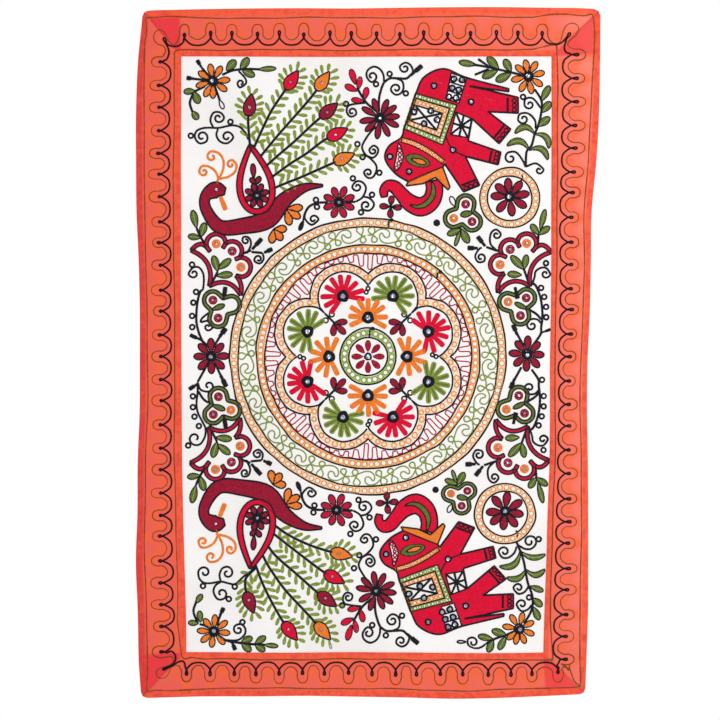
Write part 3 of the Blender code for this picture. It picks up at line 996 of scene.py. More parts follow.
outerHemCorners = {
    "topRight": ((551, 14.6), (567, 14.4), (583.5, 15.9), (591, 14.2), (592.6, 15.6), (594, 24), (594.6, 40)),
    "bottomRight": ((579.6, 660), (580.4, 679), (579.4, 685.2), (577.5, 686.4), (566, 687.2)),
    "bottomLeft": ((171, 689.9), (156, 689.5), (149, 690.6), (147.4, 689.4), (147.4, 681), (148, 668)),
    "topLeft": (
        (144.8, 46), (146.4, 36), (146.8, 27.2), (145.8, 19.6), (147.4, 17.8), (158, 17.3), (170, 16.4),
    ),
}
innerHemCorners = {
    "topRight": ((549, 45.6), (555, 45.0), (556.6, 46.4), (556.8, 52)),
    "bottomRight": ((552.6, 656), (552.6, 658.6), (551.2, 659.4), (548, 659.5)),
    "bottomLeft": ((192, 657.2), (188, 658), (184.6, 658.4), (182.4, 656), (181.4, 652)),
    "topLeft": ((174.6, 58), (174.4, 53.5), (175.4, 51.4), (179.4, 50.3), (186, 49.8)),
}


def drawCornerKnot():
    # the olive thread is carried to the bottom right corner and fastened off there
    line([(568.6, 667), (570.4, 671), (572.6, 677.6), (575.4, 682.2), (579, 685)], "olive", 2.0, stitch=3.2)
    line([(561, 663.2), (565.4, 666.4), (568.8, 670.2)], "olive", 3.0, stitch=3.2)
    for x, y in ((579.2, 685.4), (551.4, 659.3)):
        circle(x, y, 0.8, "leaf", 2.4, stitch=3.0)


def toChart(x, z):
    return np.stack([chart["middle"] + x / chart["square"], chart["top"] - z / chart["square"]], -1)


def alongSide(side, pairs):
    # pairs of (place along in chart squares, inset across the strip) turned into chart points
    pairs = np.asarray(pairs, float)
    level = side in ("top", "bottom")
    axis, span = (0, 369) if level else (1, 595)
    along = 1 + (pairs[:, 0] - (181.4 if level else 56.4)) / span
    for _ in range(12):
        spots = toChart(*bandSpot(side, along, pairs[:, 1]))
        miss = pairs[:, 0] - spots[:, axis]
        along = along + miss / np.where((along > 1) & (along < 2), span, 60)
    return toChart(*bandSpot(side, along, pairs[:, 1]))


def sewRound():
    sewing.update({"region": "round_design", "base": "ground"})
    cx, cy = chart["designX"], chart["designY"]
    for radius, width in ((138.0, 2.7), (130.0, 2.5), (111.7, 2.5), (103.5, 2.5)):
        circle(cx, cy, radius, "black", width, drift=0.55)
    for radius in (19.2, 28.2):
        circle(cx, cy, radius, "black", 2.4, drift=0.3)
    ringletBand(cx, cy, 134.0, 2.7, 6.9, "amber", "peach")
    ringletBand(cx, cy, 107.6, 2.7, 6.1, "amber", "apricot")
    ringletBand(cx, cy, 23.7, 2.7, 5.9, "moss", "lime")
    for x, y, far in ((389, 220.7, 7), (437.7, 272.4, 6), (370, 329, 8)):
        sew([(x, y), (x - 0.7, y + far)], "black", 2.6, lift=0.3)
        circle(x + 2.6, y - 0.3, 0.9, "black", 3.0, stitch=3.0, lift=0.3)
    sewVine(cx, cy)
    sewScallops(cx, cy)
    flowers = [(0, 0.0, "maroon", None, 16, 8)]
    for n in range(4):
        flowers.append((39.0, 90.0 * n, "orange", 232, 20, 8 + n % 2))
    for n in range(8):
        flowers.append((65.4, 22.5 + 45 * n, ("red", "leaf")[n % 2], 244, 21, 10))
    for distance, degrees, colour, fan, reach, count in flowers:
        x, y = polar(cx, cy, distance, degrees)
        if fan is None:
            for n in range(count):
                base, tip = polar(x, y, 5.2, 360 * n / count + 90), polar(x, y, reach, 360 * n / count + 90)
                petal(base, tip, 5.0, colour, "maroon", belly=0.6, edge=2.0)
            mirrorRing(x, y, 9.5, 18)
            continue
        for n in range(count):
            turn = degrees - fan / 2 + fan * n / (count - 1) + dice.uniform(-2.5, 2.5)
            length = reach * dice.uniform(0.93, 1.04)
            plainPetal(polar(x, y, 5.4, turn), polar(x, y, length, turn), 5.0, colour)
        mirrorRing(x, y, 10.0, 27.5)
    for degrees in (45, 135, 225, 315):
        sewSprig(cx, cy, degrees)
    print("round design drawn")


def ringletBand(x, y, radius, ring, pitch, thread, filling):
    # ringlets round a circle, with a filling thread worked between them, so that only their eyes show the
    # cloth
    count = int(2 * math.pi * radius / pitch)
    for n in range(count):
        turn = 360 * (n + dice.uniform(-0.07, 0.07)) / count
        eye = polar(x, y, radius + dice.uniform(-0.15, 0.15), turn)
        circle(*eye, ring * dice.uniform(0.91, 1.0), thread, 1.7, stitch=4.2, coarse=True, lift=0.2)
        between = turn + 180 / count
        sew([polar(x, y, radius + side * ring, between) for side in (-1, 1)], filling, 2.4, coarse=True)
    for side in (-1, 1):
        edge = polar(x, y, radius + side * (ring + 0.2), np.linspace(0, 360, 120, endpoint=False))
        sew(edge, filling, 2.2, closed=True, coarse=True)


def sewSprig(cx, cy, degrees):
    # three maroon petals that point in from each cusp, tied to it by two small loops
    knot = polar(cx, cy, 48.6, degrees)
    for spread, start, reach in ((-46, 1.6, 13.5), (0, 2.6, 16.5), (46, 1.6, 13.5)):
        turn = degrees + 180 + spread
        petal(polar(*knot, start, turn), polar(*knot, reach, turn), 5.8, "maroon", belly=0.62, edge=1.9)
    line([polar(*knot, 2.6, degrees + 180), knot, polar(cx, cy, 61.0, degrees)], width=3.2)
    for side in (-1, 1):
        line([polar(cx, cy, 61.0, degrees), polar(cx, cy, 69.5, degrees + side * 0.7)], width=2.2)
        loop(*polar(cx, cy, 55.6, degrees + side * 4.4), radius=2.5, width=2.0)


def sewScallops(cx, cy):
    # two eight-lobed lines with amber ringlets between, and the maroon wave out to the first circle
    turns = np.linspace(0, 360, 720, endpoint=False)
    cardinal = np.abs(((turns + 45) % 90) - 45) < 22.5
    lobe = 1 - np.abs(((turns % 45) - 22.5)) / 22.5
    rise = np.clip(1 - (1 - lobe) ** 2, 0, 1) ** 0.87
    inner = 89.4 - np.where(cardinal, 19.0, 21.5) * (1 - rise)
    outer = 97.8 - np.where(cardinal, 15.5, 16.5) * (1 - rise)
    for start in range(0, 720, 90):
        part = slice(start, start + 90)
        sew(wobble(polar(cx, cy, inner[part], turns[part]), 0.25), "black", 2.5)
    sew(wobble(polar(cx, cy, outer, turns), 0.3), "black", 2.5, closed=True)
    for share in (0.24, 0.40, 0.60, 0.76):
        sew(polar(cx, cy, inner + (outer - inner) * share, turns), "peach", 1.5, closed=True, coarse=True)
    ringlets(polar(cx, cy, (inner + outer) / 2, turns), 8.4, 2.55, "amber", 2.0, sway=0.3)
    for degrees in (0, 90, 180, 270):
        loop(*polar(cx, cy, 68.0, degrees), radius=1.9, width=2.2)
        loop(*polar(cx, cy, 64.4, degrees + 1.6), radius=1.9, width=2.2)
    waves = 64
    path = []
    for n in range(waves):
        shift = dice.uniform(-0.4, 0.4)
        near = (n + np.array((0.58, 0.75, 0.92))) * 360 / waves + shift
        low = np.interp(near % 360, np.append(turns, 360), np.append(outer, outer[0])).max() + 1.5
        for share, level in ((0.02, 0.84), (0.13, 1), (0.37, 1), (0.48, 0.84),
                             (0.52, 0.16), (0.63, 0), (0.87, 0), (0.98, 0.16)):
            path.append(polar(cx, cy, low + (102.2 - low) * level, (n + share) * 360 / waves + shift))
    sew(smooth(path, True, 3), "crimson", 2.1, closed=True, stitch=3.0)


def sewVine(cx, cy):
    # running green scroll: a knot of four loops, then an S that curls back into the next knot
    facts = {
        "count": 21,
        "first": 39.1,  # degrees of the first knot
        "knot": 121.2,  # distance of the knots from the middle
        "curl": (
            (0.0, 121.2), (0.13, 121.8), (0.21, 124.2), (0.30, 127.0), (0.405, 128.3), (0.515, 128.0),
            (0.59, 125.6),
            (0.60, 122.2), (0.56, 120.4), (0.49, 120.4), (0.443, 121.9), (0.40, 124.0), (0.355, 123.4),
            (0.335, 120.6), (0.37, 117.3), (0.464, 115.0), (0.60, 114.9), (0.737, 116.6), (0.87, 119.0),
            (1.0, 121.2),
        ),
    }
    step = 360 / facts["count"]
    for n in range(facts["count"]):
        start = facts["first"] - step * n + dice.uniform(-0.6, 0.6)
        path = [polar(cx, cy, distance, start - step * share) for share, distance in facts["curl"]]
        sew(smooth(path, per=4), "moss", 2.3, stitch=3.2)
        for side in (-1, 1):
            x, y = polar(cx, cy, facts["knot"], start + side * 2.7)
            lean = start + 18 + dice.uniform(-6, 6)
            petalLoop(x, y, lean, 8.4 * dice.uniform(0.92, 1.05), 6.8, "moss", 2.3)
            petalLoop(x, y, lean + 180, 7.4 * dice.uniform(0.92, 1.05), 5.8, "moss", 2.3)
    print("vine drawn")


def petalLoop(x, y, degrees, reach, width, thread, threadWidth):
    # an open loop that starts and ends at a point
    ring = around(*limb((x, y), polar(x, y, reach, degrees), width, 0.66, steps=8))
    sew(smooth(ring, True, 2), thread, threadWidth, closed=True, stitch=3.0, coarse=threadWidth > 2.4)


def ribbon(path, thread, width=3.4, outline="black", closed=False, edge=2.0, gap=1.2, lift=0.0):
    # a band of rows between two outlines; a third value at a point is the band's width there
    course = smooth([p if len(p) == 3 else (*p, width) for p in path], closed, per=5)
    middle, half = course[:, :2], course[:, 2] / 2
    side = acrossLine(middle, closed)
    left, right = middle + side * half[:, None], middle - side * half[:, None]
    if outline and closed:
        sew(left, outline, edge, closed=True, lift=lift + 0.35)
        sew(right, outline, edge, closed=True, lift=lift + 0.35)
    elif outline:
        sew(np.concatenate([left, right[::-1]]), outline, edge, closed=True, lift=lift + 0.35)
    room = half - (0.35 if outline else 0.2)
    reach = max(room.max(), 0.1)
    rows = max(1, int(round(2 * reach / gap)))
    for n in range(rows):
        offset = (2 * (n + 0.5) / rows - 1) * reach
        row = middle + side * offset
        keep = np.concatenate([[0], room >= abs(offset) - 0.05, [0]]).astype(int)
        if closed and keep[1:-1].all():
            sew(row, thread, 2.9, closed=True, coarse=True, lift=lift)
            continue
        for start, end in np.flatnonzero(np.diff(keep)).reshape(-1, 2):
            sew(row[start:end], thread, 2.9, coarse=True, lift=lift)


def daisy(x, y, turns, reach, width, thread, start=3.4, own=False):
    # outlined petals round a mirror; turns are the directions of the petals in degrees
    for turn in turns:
        far = reach * dice.uniform(0.96, 1.04)
        edge = 2.35 if thread == "maroon" else 2.0
        petal(polar(x, y, start, turn), polar(x, y, far, turn), width * 0.84, thread, belly=0.62, edge=edge)
    circle(x, y, 4.5, "black", 2.0 if thread == "crimson" else 2.5, stitch=3.2, lift=0.6)
    if own:
        mirrorRing(x, y, 7.0, 18.0, own=True)


def evenTurns(count, first=0.0):
    return [first + 360 * n / count for n in range(count)]


def spangle(x, y, thread, radius=3.9):
    # a bright disc worked round and round, with a small mirror in it
    thread = "maroon" if thread == "red" else thread
    circle(x, y, radius - 0.1, thread, 2.6, stitch=3.2)
    mirrorRing(x, y, 6.2, 13.0, thread, own=True)


def sewPlant(facts):
    # one spray of stems, leaves, scrolls, loops, dark buds and coloured petals, all in chart squares
    for stem in facts.get("stems", ()):
        line(stem, width=3.5)
    for base, tip, width, *via in facts.get("leaves", ()):
        petal(base, tip, width, "leaf", belly=0.58, edge=1.9, vein="lime", via=via[0] if via else None)
    for stem, centre, way in facts.get("scrolls", ()):
        scroll(stem, centre, way=way, turns=1.05)
    for x, y in facts.get("loops", ()):
        loop(x, y)
    for base, tip, width in facts.get("bars", ()):
        far = np.add(base, np.subtract(tip, base) * 0.38)
        sew([base, tip], "black", width, stitch=3.2)
        sew([far, tip], "black", width * 1.45, stitch=3.0, lift=0.2)
    for thread, base, tip, width in facts.get("petals", ()):
        petal(base, tip, width, thread, edge=1.9)


def sewUpperLeftCorner():
    daisy(213, 81.3, (100, 60, 5, -35, -90, -118, -163, 147), 17, 7.0, "orange")
    sewPlant({
        "stems": [
            ((213, 81), (201.5, 67.5)), ((213, 81), (194, 79)), ((213, 81), (220, 101)),
            ((222, 75), (233, 70.5), (247, 69), (260, 69.5)), ((205, 86.5), (194, 92)),
            ((193, 94), (190, 103), (192.5, 112)),
        ],
        "leaves": [
            ((226.5, 70.5), (235.5, 60.5), 8.0), ((240.5, 69.5), (248.5, 58), 7.5),
            ((242.5, 70.5), (254.5, 76), 7.0), ((258, 69.5), (276, 68.5), 4.8), ((195, 91), (184, 92), 6.0),
            ((194, 92), (199, 103.5), 7.5), ((192.5, 111.5), (198, 119.5), 6.5),
        ],
        "scrolls": [(((238.5, 71), (245, 78), (246, 83.5), (240.5, 87.5)), (241, 83.3), -1)],
        "bars": [((201.5, 67.5), (197, 60), 4.0), ((194.5, 79), (186.5, 78), 4.0)],
        "petals": [(None, (219.5, 100), (223.5, 109), 4.2)],
    })


def sewUpperRightCorner():
    daisy(528.4, 76.4, (139, 101, 60, 14, -34, -79, -119, -167), 17, 7.0, "orange")
    sewPlant({
        "stems": [
            ((523.5, 75.5), (511.5, 72.5), (498.5, 69.5), (487.5, 67), (472.5, 64.5)),
            ((491, 68), (478, 59)), ((489, 69), (474.5, 75)),
            ((534.5, 89), (541.5, 101), (541, 114), (538, 126), (534.5, 134.5), (531.5, 145.5), (526.5, 152),
             (525.5, 167)),
        ],
        "leaves": [
            ((476, 65), (459, 62), 6.0), ((511, 71.5), (504.5, 59.5), 7.2), ((498.5, 69), (487.5, 57), 7.5),
            ((511, 73.5), (496, 81), 8.0), ((497.5, 70.5), (482.5, 77.5), 7.5),
            ((541.5, 101), (549.5, 86), 6.8), ((542, 112.5), (550.5, 102), 7.2),
            ((538, 126.5), (549.5, 117.5), 7.2), ((534.5, 134.5), (515, 133.5), 5.8, (523.5, 127)),
            ((534.5, 134.5), (548.5, 148.5), 5.8, (546, 137.5)),
            ((529, 150.5), (507, 146), 6.0, (518, 141)), ((529, 150.5), (547.5, 160), 5.8, (543, 150)),
        ],
        "scrolls": [
            (((541, 108.5), (533, 98.5), (525.5, 99), (524.5, 105)), (529.5, 104.5), 1),
            (((535.5, 129), (535, 120.5), (528, 113.5), (520, 114), (518, 119.5)), (523.5, 119), 1),
            (((525.5, 167.5), (522.5, 160.5), (516, 152.5), (508.5, 152.5)), (510.5, 158.3), 1),
            (((525.5, 167), (535.5, 163.5), (543, 169)), (539, 170.5), -1),
        ],
        "loops": [(523, 97)],
    })


def sewLowerLeftCorner():
    daisy(214, 631.4, (86, 38, -6, -50, -99, -141, 177, 129), 16.5, 6.6, "orange")
    sewPlant({
        "stems": [
            ((217.5, 626), (218.5, 620), (220.5, 615)), ((214, 631.4), (206, 626), (199.5, 624)),
            ((198, 623), (193.5, 611.5), (196.5, 601)),
            ((214, 631.4), (225.5, 640), (237.5, 642.3), (250, 643.7), (265, 644.5)),
        ],
        "leaves": [
            ((198.5, 623.3), (188.5, 622.5), 5.3), ((200.5, 622), (199.5, 611), 5.6),
            ((196, 603), (202, 594.5), 5.4), ((241.8, 641.6), (252.3, 637.4), 6.5),
            ((241.8, 643), (251, 650.7), 6.8), ((255.4, 643), (265.6, 636.3), 6.2),
            ((255.4, 644.4), (265, 650.4), 6.6), ((264.2, 644.4), (278.2, 645.8), 4.4),
        ],
        "scrolls": [
            (((225.5, 640), (237.5, 640), (244.6, 634.6), (245.3, 628.2), (241, 624), (235.4, 625.4)),
             (238.5, 629.6), 1),
        ],
        "loops": [(242.5, 622)],
        "bars": [((219.8, 616), (223.8, 607.5), 4.0), ((231.9, 641.6), (235.4, 650), 4.0)],
    })


def sewLowerRightCorner():
    daisy(518.9, 628.3, (76, 25, -22, -67, -104, -138, 171, 122), 16.3, 6.4, "orange")
    sewPlant({
        "stems": [
            ((516, 630), (505.5, 634.7), (494, 638.7), (485.5, 643.5)),
            ((523.7, 623.5), (530, 613), (532.5, 604.4), (531.7, 594), (527.7, 582.8), (525.3, 571),
             (523, 559), (516.6, 542.2)),
        ],
        "leaves": [
            ((506.2, 634.7), (491.8, 630), 7.0), ((505.4, 636.3), (498.6, 649), 6.6),
            ((492.6, 638.7), (478, 635.5), 6.2), ((493, 639.5), (487.8, 651.4), 6.6),
            ((519.7, 551.7), (499.4, 566.1), 6.0, (516.5, 562.5)),
            ((520.5, 551), (545, 554.1), 5.2, (531.7, 557.3)),
            ((525.3, 569.3), (506.6, 577.3), 5.6, (518.5, 578)),
            ((526.1, 569.3), (544.5, 569), 5.6, (535, 574.8)), ((530.1, 586), (543, 590.8), 5.6),
            ((532.9, 598), (541.7, 606), 6.6), ((533.3, 606.8), (539, 619.5), 6.4),
        ],
        "scrolls": [
            (((485.5, 643.5), (480.5, 647), (474.3, 647.8), (468.5, 645), (467.5, 639.5)), (472.7, 642), -1),
            (((516.6, 546.2), (514.2, 552.5), (508.6, 557.3), (502.2, 557.3), (498.6, 551.7)),
             (504.2, 551.6), -1),
            (((517.4, 544.6), (524.5, 548.6), (531, 548.6), (535.7, 543.8), (535, 538.2)), (529.5, 541.5), 1),
            (((528.5, 586), (524.5, 591.6), (518.2, 593.6), (513.4, 588.4)), (518.4, 587.6), -1),
            (((531.7, 604.4), (527.7, 609.2), (521.3, 610.8), (516.6, 605.2)), (521.8, 604), -1),
        ],
        "loops": [(538.5, 539), (528.9, 597.2)],
        "petals": [(None, (466, 641.5), (457, 641.5), 2.6)],
    })


def sewSideVine():
    # the scrolling stem between the corner flower and the peacock's tail
    sewPlant({
        "scrolls": [
            (((248.5, 140), (245.5, 133), (239.5, 127), (231.5, 125.5), (219, 128), (205.5, 128), (197, 131),
              (195, 137.5), (199.5, 143.5), (206, 142)), (202, 137), 1),
            (((213.5, 128), (210.5, 120.5), (213.5, 113), (220, 112.5), (224, 117)), (218.5, 118), -1),
            (((218, 129), (216.5, 135.5), (220, 141.5), (227, 143.5), (233, 138.5)), (227, 137), 1),
        ],
        "loops": [(230.5, 122), (191, 136)],
    })


def feather(path, thread):
    # a stem set with short green barbs, ending in an eye with a small mirror and a fringe of its own
    facts = {"eye": 22.5, "eyeWidth": 12.0, "first": 8.0, "pitch": 8.2, "barb": 9.0, "lean": 50}
    spine = smooth(path, per=8)
    reach = lengths(spine)
    stem = reach[-1] - facts["eye"] / 2
    sew(spine[reach < stem + 2.6], "black", 3.3, lift=0.3)
    marks = []
    at = facts["first"]
    while at < stem - 2:
        marks.append((at, 0.4, facts["lean"]))
        at += facts["pitch"] * dice.uniform(0.9, 1.1)
    fringe = ((0.08, 3.4, 74), (0.30, 5.8, 68), (0.52, 6.0, 56), (0.74, 4.4, 44), (0.95, 1.2, 26))
    for share, out, lean in fringe:
        marks.append((stem + share * facts["eye"], out, lean))
    end = spine[-1] - spine[-3]
    last = math.degrees(math.atan2(-end[1], end[0]))
    for at, out, lean in marks:
        x, y = pointAt(at, reach, spine)
        ahead = pointAt(at + 1.5, reach, spine) - (x, y)
        heading = math.degrees(math.atan2(-ahead[1], ahead[0]))
        if at > reach[-1] - 1.6:
            heading = last
            x, y = polar(*spine[-1], at - reach[-1], last)
        for side in (-1, 1):
            turn = heading + side * (lean + dice.uniform(-7, 7))
            base = polar(*polar(x, y, out, heading + side * 90), 0.8, turn)
            barb = facts["barb"] * dice.uniform(0.85, 1.1) * (1.0 if at < stem else 0.86)
            petalLoop(*base, turn, barb, 1.9, "moss", 2.9)
    base, tip = polar(*spine[-1], facts["eye"] / 2, last + 180), polar(*spine[-1], facts["eye"] / 2, last)
    petal(base, tip, facts["eyeWidth"], thread, belly=0.38, edge=2.4, point=0.9)
    mirrorRing(*polar(*spine[-1], 2.5, last + 180), 6.0, 9.5, thread, own=True)


def sewPeacock():
    facts = {
        "body": (
            (225, 191.5, 7), (215.5, 190, 15.5), (205.6, 197, 9.8), (206.5, 210, 10), (220, 227, 13),
            (243, 226, 15),
            (268, 219.5, 17), (284.5, 200, 14), (304, 188, 8), (322.5, 185.6, 2.0),
        ),
        "crest": [
            (((219, 179), (223, 170), (223.5, 160.5), (219, 153.5), (212, 151.5)), (212, 157), 1),
            (((219, 179), (215, 171), (208, 166.5), (202, 166.5), (199.5, 171)), (204, 172), 1),
            (((219, 179), (228, 177), (235, 172), (236.5, 165), (233, 160.5)), (231, 164.5), 1),
        ],
        "sprays": [
            ((286, 209), (302.5, 207.5)), ((286, 209), (300, 218)), ((286, 209), (290, 225)),
            ((274, 229), (286.5, 229)), ((274, 229), (282, 240)), ((274, 229), (271.5, 243)),
        ],
    }
    ribbon(facts["body"], "maroon", edge=2.6)
    mirrorRing(216.5, 189.8, 6.6, 11.0, "maroon", own=True)
    plainPetal((220.6, 197.0), (225.6, 209.6), 4.8, "orange")
    sew([(217.4, 183.6), (218.3, 178.4)], "orange", 4.2)
    for stem, centre, way in facts["crest"]:
        scroll(stem, centre, way=way, turns=1.0, thread="orange", width=4.0)
    for base, tip in facts["sprays"]:
        petal(base, tip, 7.0, "orange", belly=0.66)


def sewFeathers(paths):
    # the eyes of a tail's feathers go through three colours twice
    for path, thread in zip(paths, ("maroon", "red", "orange") * 2):
        feather(path, thread)


upperFeathers = (
    ((250, 145), (248.5, 128), (248.3, 117.5), (250, 105)),
    ((253, 150), (263, 128), (272, 110), (284, 92), (292, 80)),
    ((259.5, 158), (270, 145), (280, 133), (299.5, 111), (313, 95), (323, 81)),
    ((264, 168), (281, 153), (295, 141), (313, 124), (329, 110.5)),
    ((269.5, 179), (290, 164), (306.5, 153.5), (323, 141), (337.5, 133.5)),
    ((272, 189), (289, 182), (300.5, 177.5), (322, 168), (344.2, 158.2)),
)
lowerFeathers = (
    ((256, 567.5), (246.3, 577.6), (245.3, 585.2), (246.3, 592.2), (249.9, 602.4)),
    ((255.6, 565), (262.9, 583.9), (273.1, 604.3), (283.3, 621.6), (290.3, 631)),
    ((262.5, 554.6), (269.3, 567.3), (284.6, 589), (302.4, 608.2), (315.2, 622.2), (323, 631)),
    ((267.2, 544.8), (276.2, 556.2), (294.8, 572.4), (317, 592), (327.3, 599.6)),
    ((273.8, 533.8), (292.2, 548.2), (313.9, 564.8), (324.1, 572), (334.5, 577.6)),
    ((273.8, 524.6), (288.4, 534.8), (308.8, 544.6), (327, 550.6), (341.4, 554)),
)


def sewPaisley():
    # a red band round a drop, with a flower in it
    middle, side, half = limb((259, 211.5), (250.5, 146), 32.5, belly=0.36, point=0.95)
    left, right = middle + side * half[:, None], middle - side * half[:, None]
    band = np.concatenate([left[::-1], right[1:]])
    wide = np.interp(np.arange(len(band)), (0, 5, 15, 20), (3.4, 5.2, 5.2, 3.4))
    band = np.column_stack([band, wide])
    ribbon(band, "red", outline=None, lift=0.5)
    edges = bandEdges(band)
    for edge in (edges[:len(edges) // 2], edges[len(edges) // 2:]):
        sew(edge, "black", 2.4, closed=True, lift=0.85)
    daisy(257, 195.5, evenTurns(8, 20), 12.4, 6.0, "maroon", own=True)
    line(((257, 188), (255.8, 183.5), (253.5, 177)), width=3.4)
    petal((253.8, 178), (252.8, 164), 4.6, "maroon")
    petal((256, 184), (250.5, 178.5), 4.6, "maroon")
    petal((256, 184), (260, 177), 4.6, "maroon")


def sewLittleFlower():
    # the small red flower by the peacock's tail with its scrolls
    daisy(339, 202.4, evenTurns(8, 22), 16.4, 7.4, "crimson", own=True)
    sewPlant({
        "stems": [
            ((328, 202.5), (318, 203), (309.5, 206.5), (305, 213.5), (303.5, 220.5)),
            ((345, 202), (355.5, 202)),
        ],
        "scrolls": [
            (((305, 213.5), (305, 219), (311.5, 225), (318.3, 220.2)), (313.5, 219.5), 1),
            (((355.5, 202), (362.5, 197.5), (366, 188.5), (362.5, 182.5), (356.5, 181.5), (352.3, 186.5)),
             (357.3, 187), 1),
            (((363.5, 197), (368.7, 198), (373, 202), (373.8, 206), (369.7, 210.6), (363.6, 210)),
             (366, 205.5), -1),
        ],
        "loops": [(316, 200), (317, 207), (352.9, 178.5), (372, 195), (361, 212.5)],
        "petals": [("black", (303.5, 220.5), (299.5, 230.5), 3.6)],
    })


def sewFourPetals():
    for turn in (84, -6, 176, -92):
        petal(polar(390.6, 207, 1.2, turn), polar(390.6, 207, 10.8, turn), 5.4, "maroon", edge=2.0)
        sew([(390.6, 207), polar(390.6, 207, 5.5, turn)], "black", 2.8, lift=0.4)


def sewDarkFlower():
    # dark red flower between the peacock and the elephant, with a sprig and the tall scroll above it
    daisy(379.9, 118.3, (109, 67, 37, 6, -24, -63, -98, -138, -170, 149), 20.0, 6.2, "maroon", own=True)
    sewPlant({
        "stems": [
            ((377, 112), (366.5, 103), (360.5, 94), (357, 87.5)),
            ((379, 112), (379, 99), (381.5, 88.5), (384, 82.5)),
            ((384, 82.5), (390, 78.5), (398, 78.5), (406.5, 78.5), (411, 74.5)),
        ],
        "petals": [
            ("red", (355.4, 84.6), (350.8, 69.3), 5.8), ("red", (358, 90), (360.5, 77), 5.2),
            ("red", (357, 91.2), (345.2, 85.4), 6.0), ("red", (364.5, 100), (367, 87.5), 5.6),
            ("red", (363.8, 101.6), (351.5, 99.6), 5.2),
        ],
        "bars": [((411, 75), (422.2, 65.5), 4.4)],
        "scrolls": [
            (((365.5, 103), (355.5, 104), (348.3, 106), (346.7, 112), (350.3, 116.7), (355.4, 115.2)),
             (352, 112), 1),
            (((384, 82.6), (383.5, 75.4), (380, 69.3), (373.8, 66.7), (367.7, 70.3), (366.6, 76.4),
              (370.7, 82)), (372, 76.4), 1),
            (((410.5, 76.4), (413, 71.3), (410.5, 65.2), (405.4, 62.7), (400.3, 65.7)), (404.8, 68.2), 1),
            (((396.2, 78.5), (402.3, 81.5), (403.4, 88.7), (400.3, 93.8), (395.2, 94.8), (391.1, 90.7)),
             (396.2, 88.8), -1),
        ],
        "loops": [(346, 104), (376, 84.3), (389.6, 74), (405.8, 93.5)],
    })


def sewHangingScroll():
    # the scroll that hangs from the dark red flower
    sewPlant({
        "scrolls": [
            (((376, 126.5), (368.7, 134.6), (362.6, 144.8), (362.6, 150), (365.6, 155), (370.7, 159),
              (376, 165.2), (376.3, 171.3), (372.8, 177.4), (367.7, 178), (364, 173.4)), (368.3, 173), -1),
            (((366.6, 156), (372.8, 158), (377.3, 154), (378, 149), (373.8, 145.8), (369.7, 149)),
             (373.2, 151), 1),
        ],
        "loops": [(357.4, 144.3), (362.6, 157.3), (379.3, 173)],
    })


def sewTrunk():
    facts = {
        "trunk": (
            (433, 181, 15), (434.5, 190, 16), (431, 201, 17), (421, 207, 18), (410, 203, 16), (402, 195, 13),
            (395, 187.5, 12), (388, 186, 10), (383.8, 191, 8), (384.5, 197, 6),
        ),
        "stripe": (
            (432, 182, 1.5), (433.5, 190, 4), (431.5, 198, 5), (424.5, 205, 4.6), (417, 207, 3),
            (410, 205.4, 1.2),
        ),
    }
    ribbon(facts["trunk"], "red", edge=2.5)
    ribbon(facts["stripe"], "leaf", edge=1.9, lift=0.8)


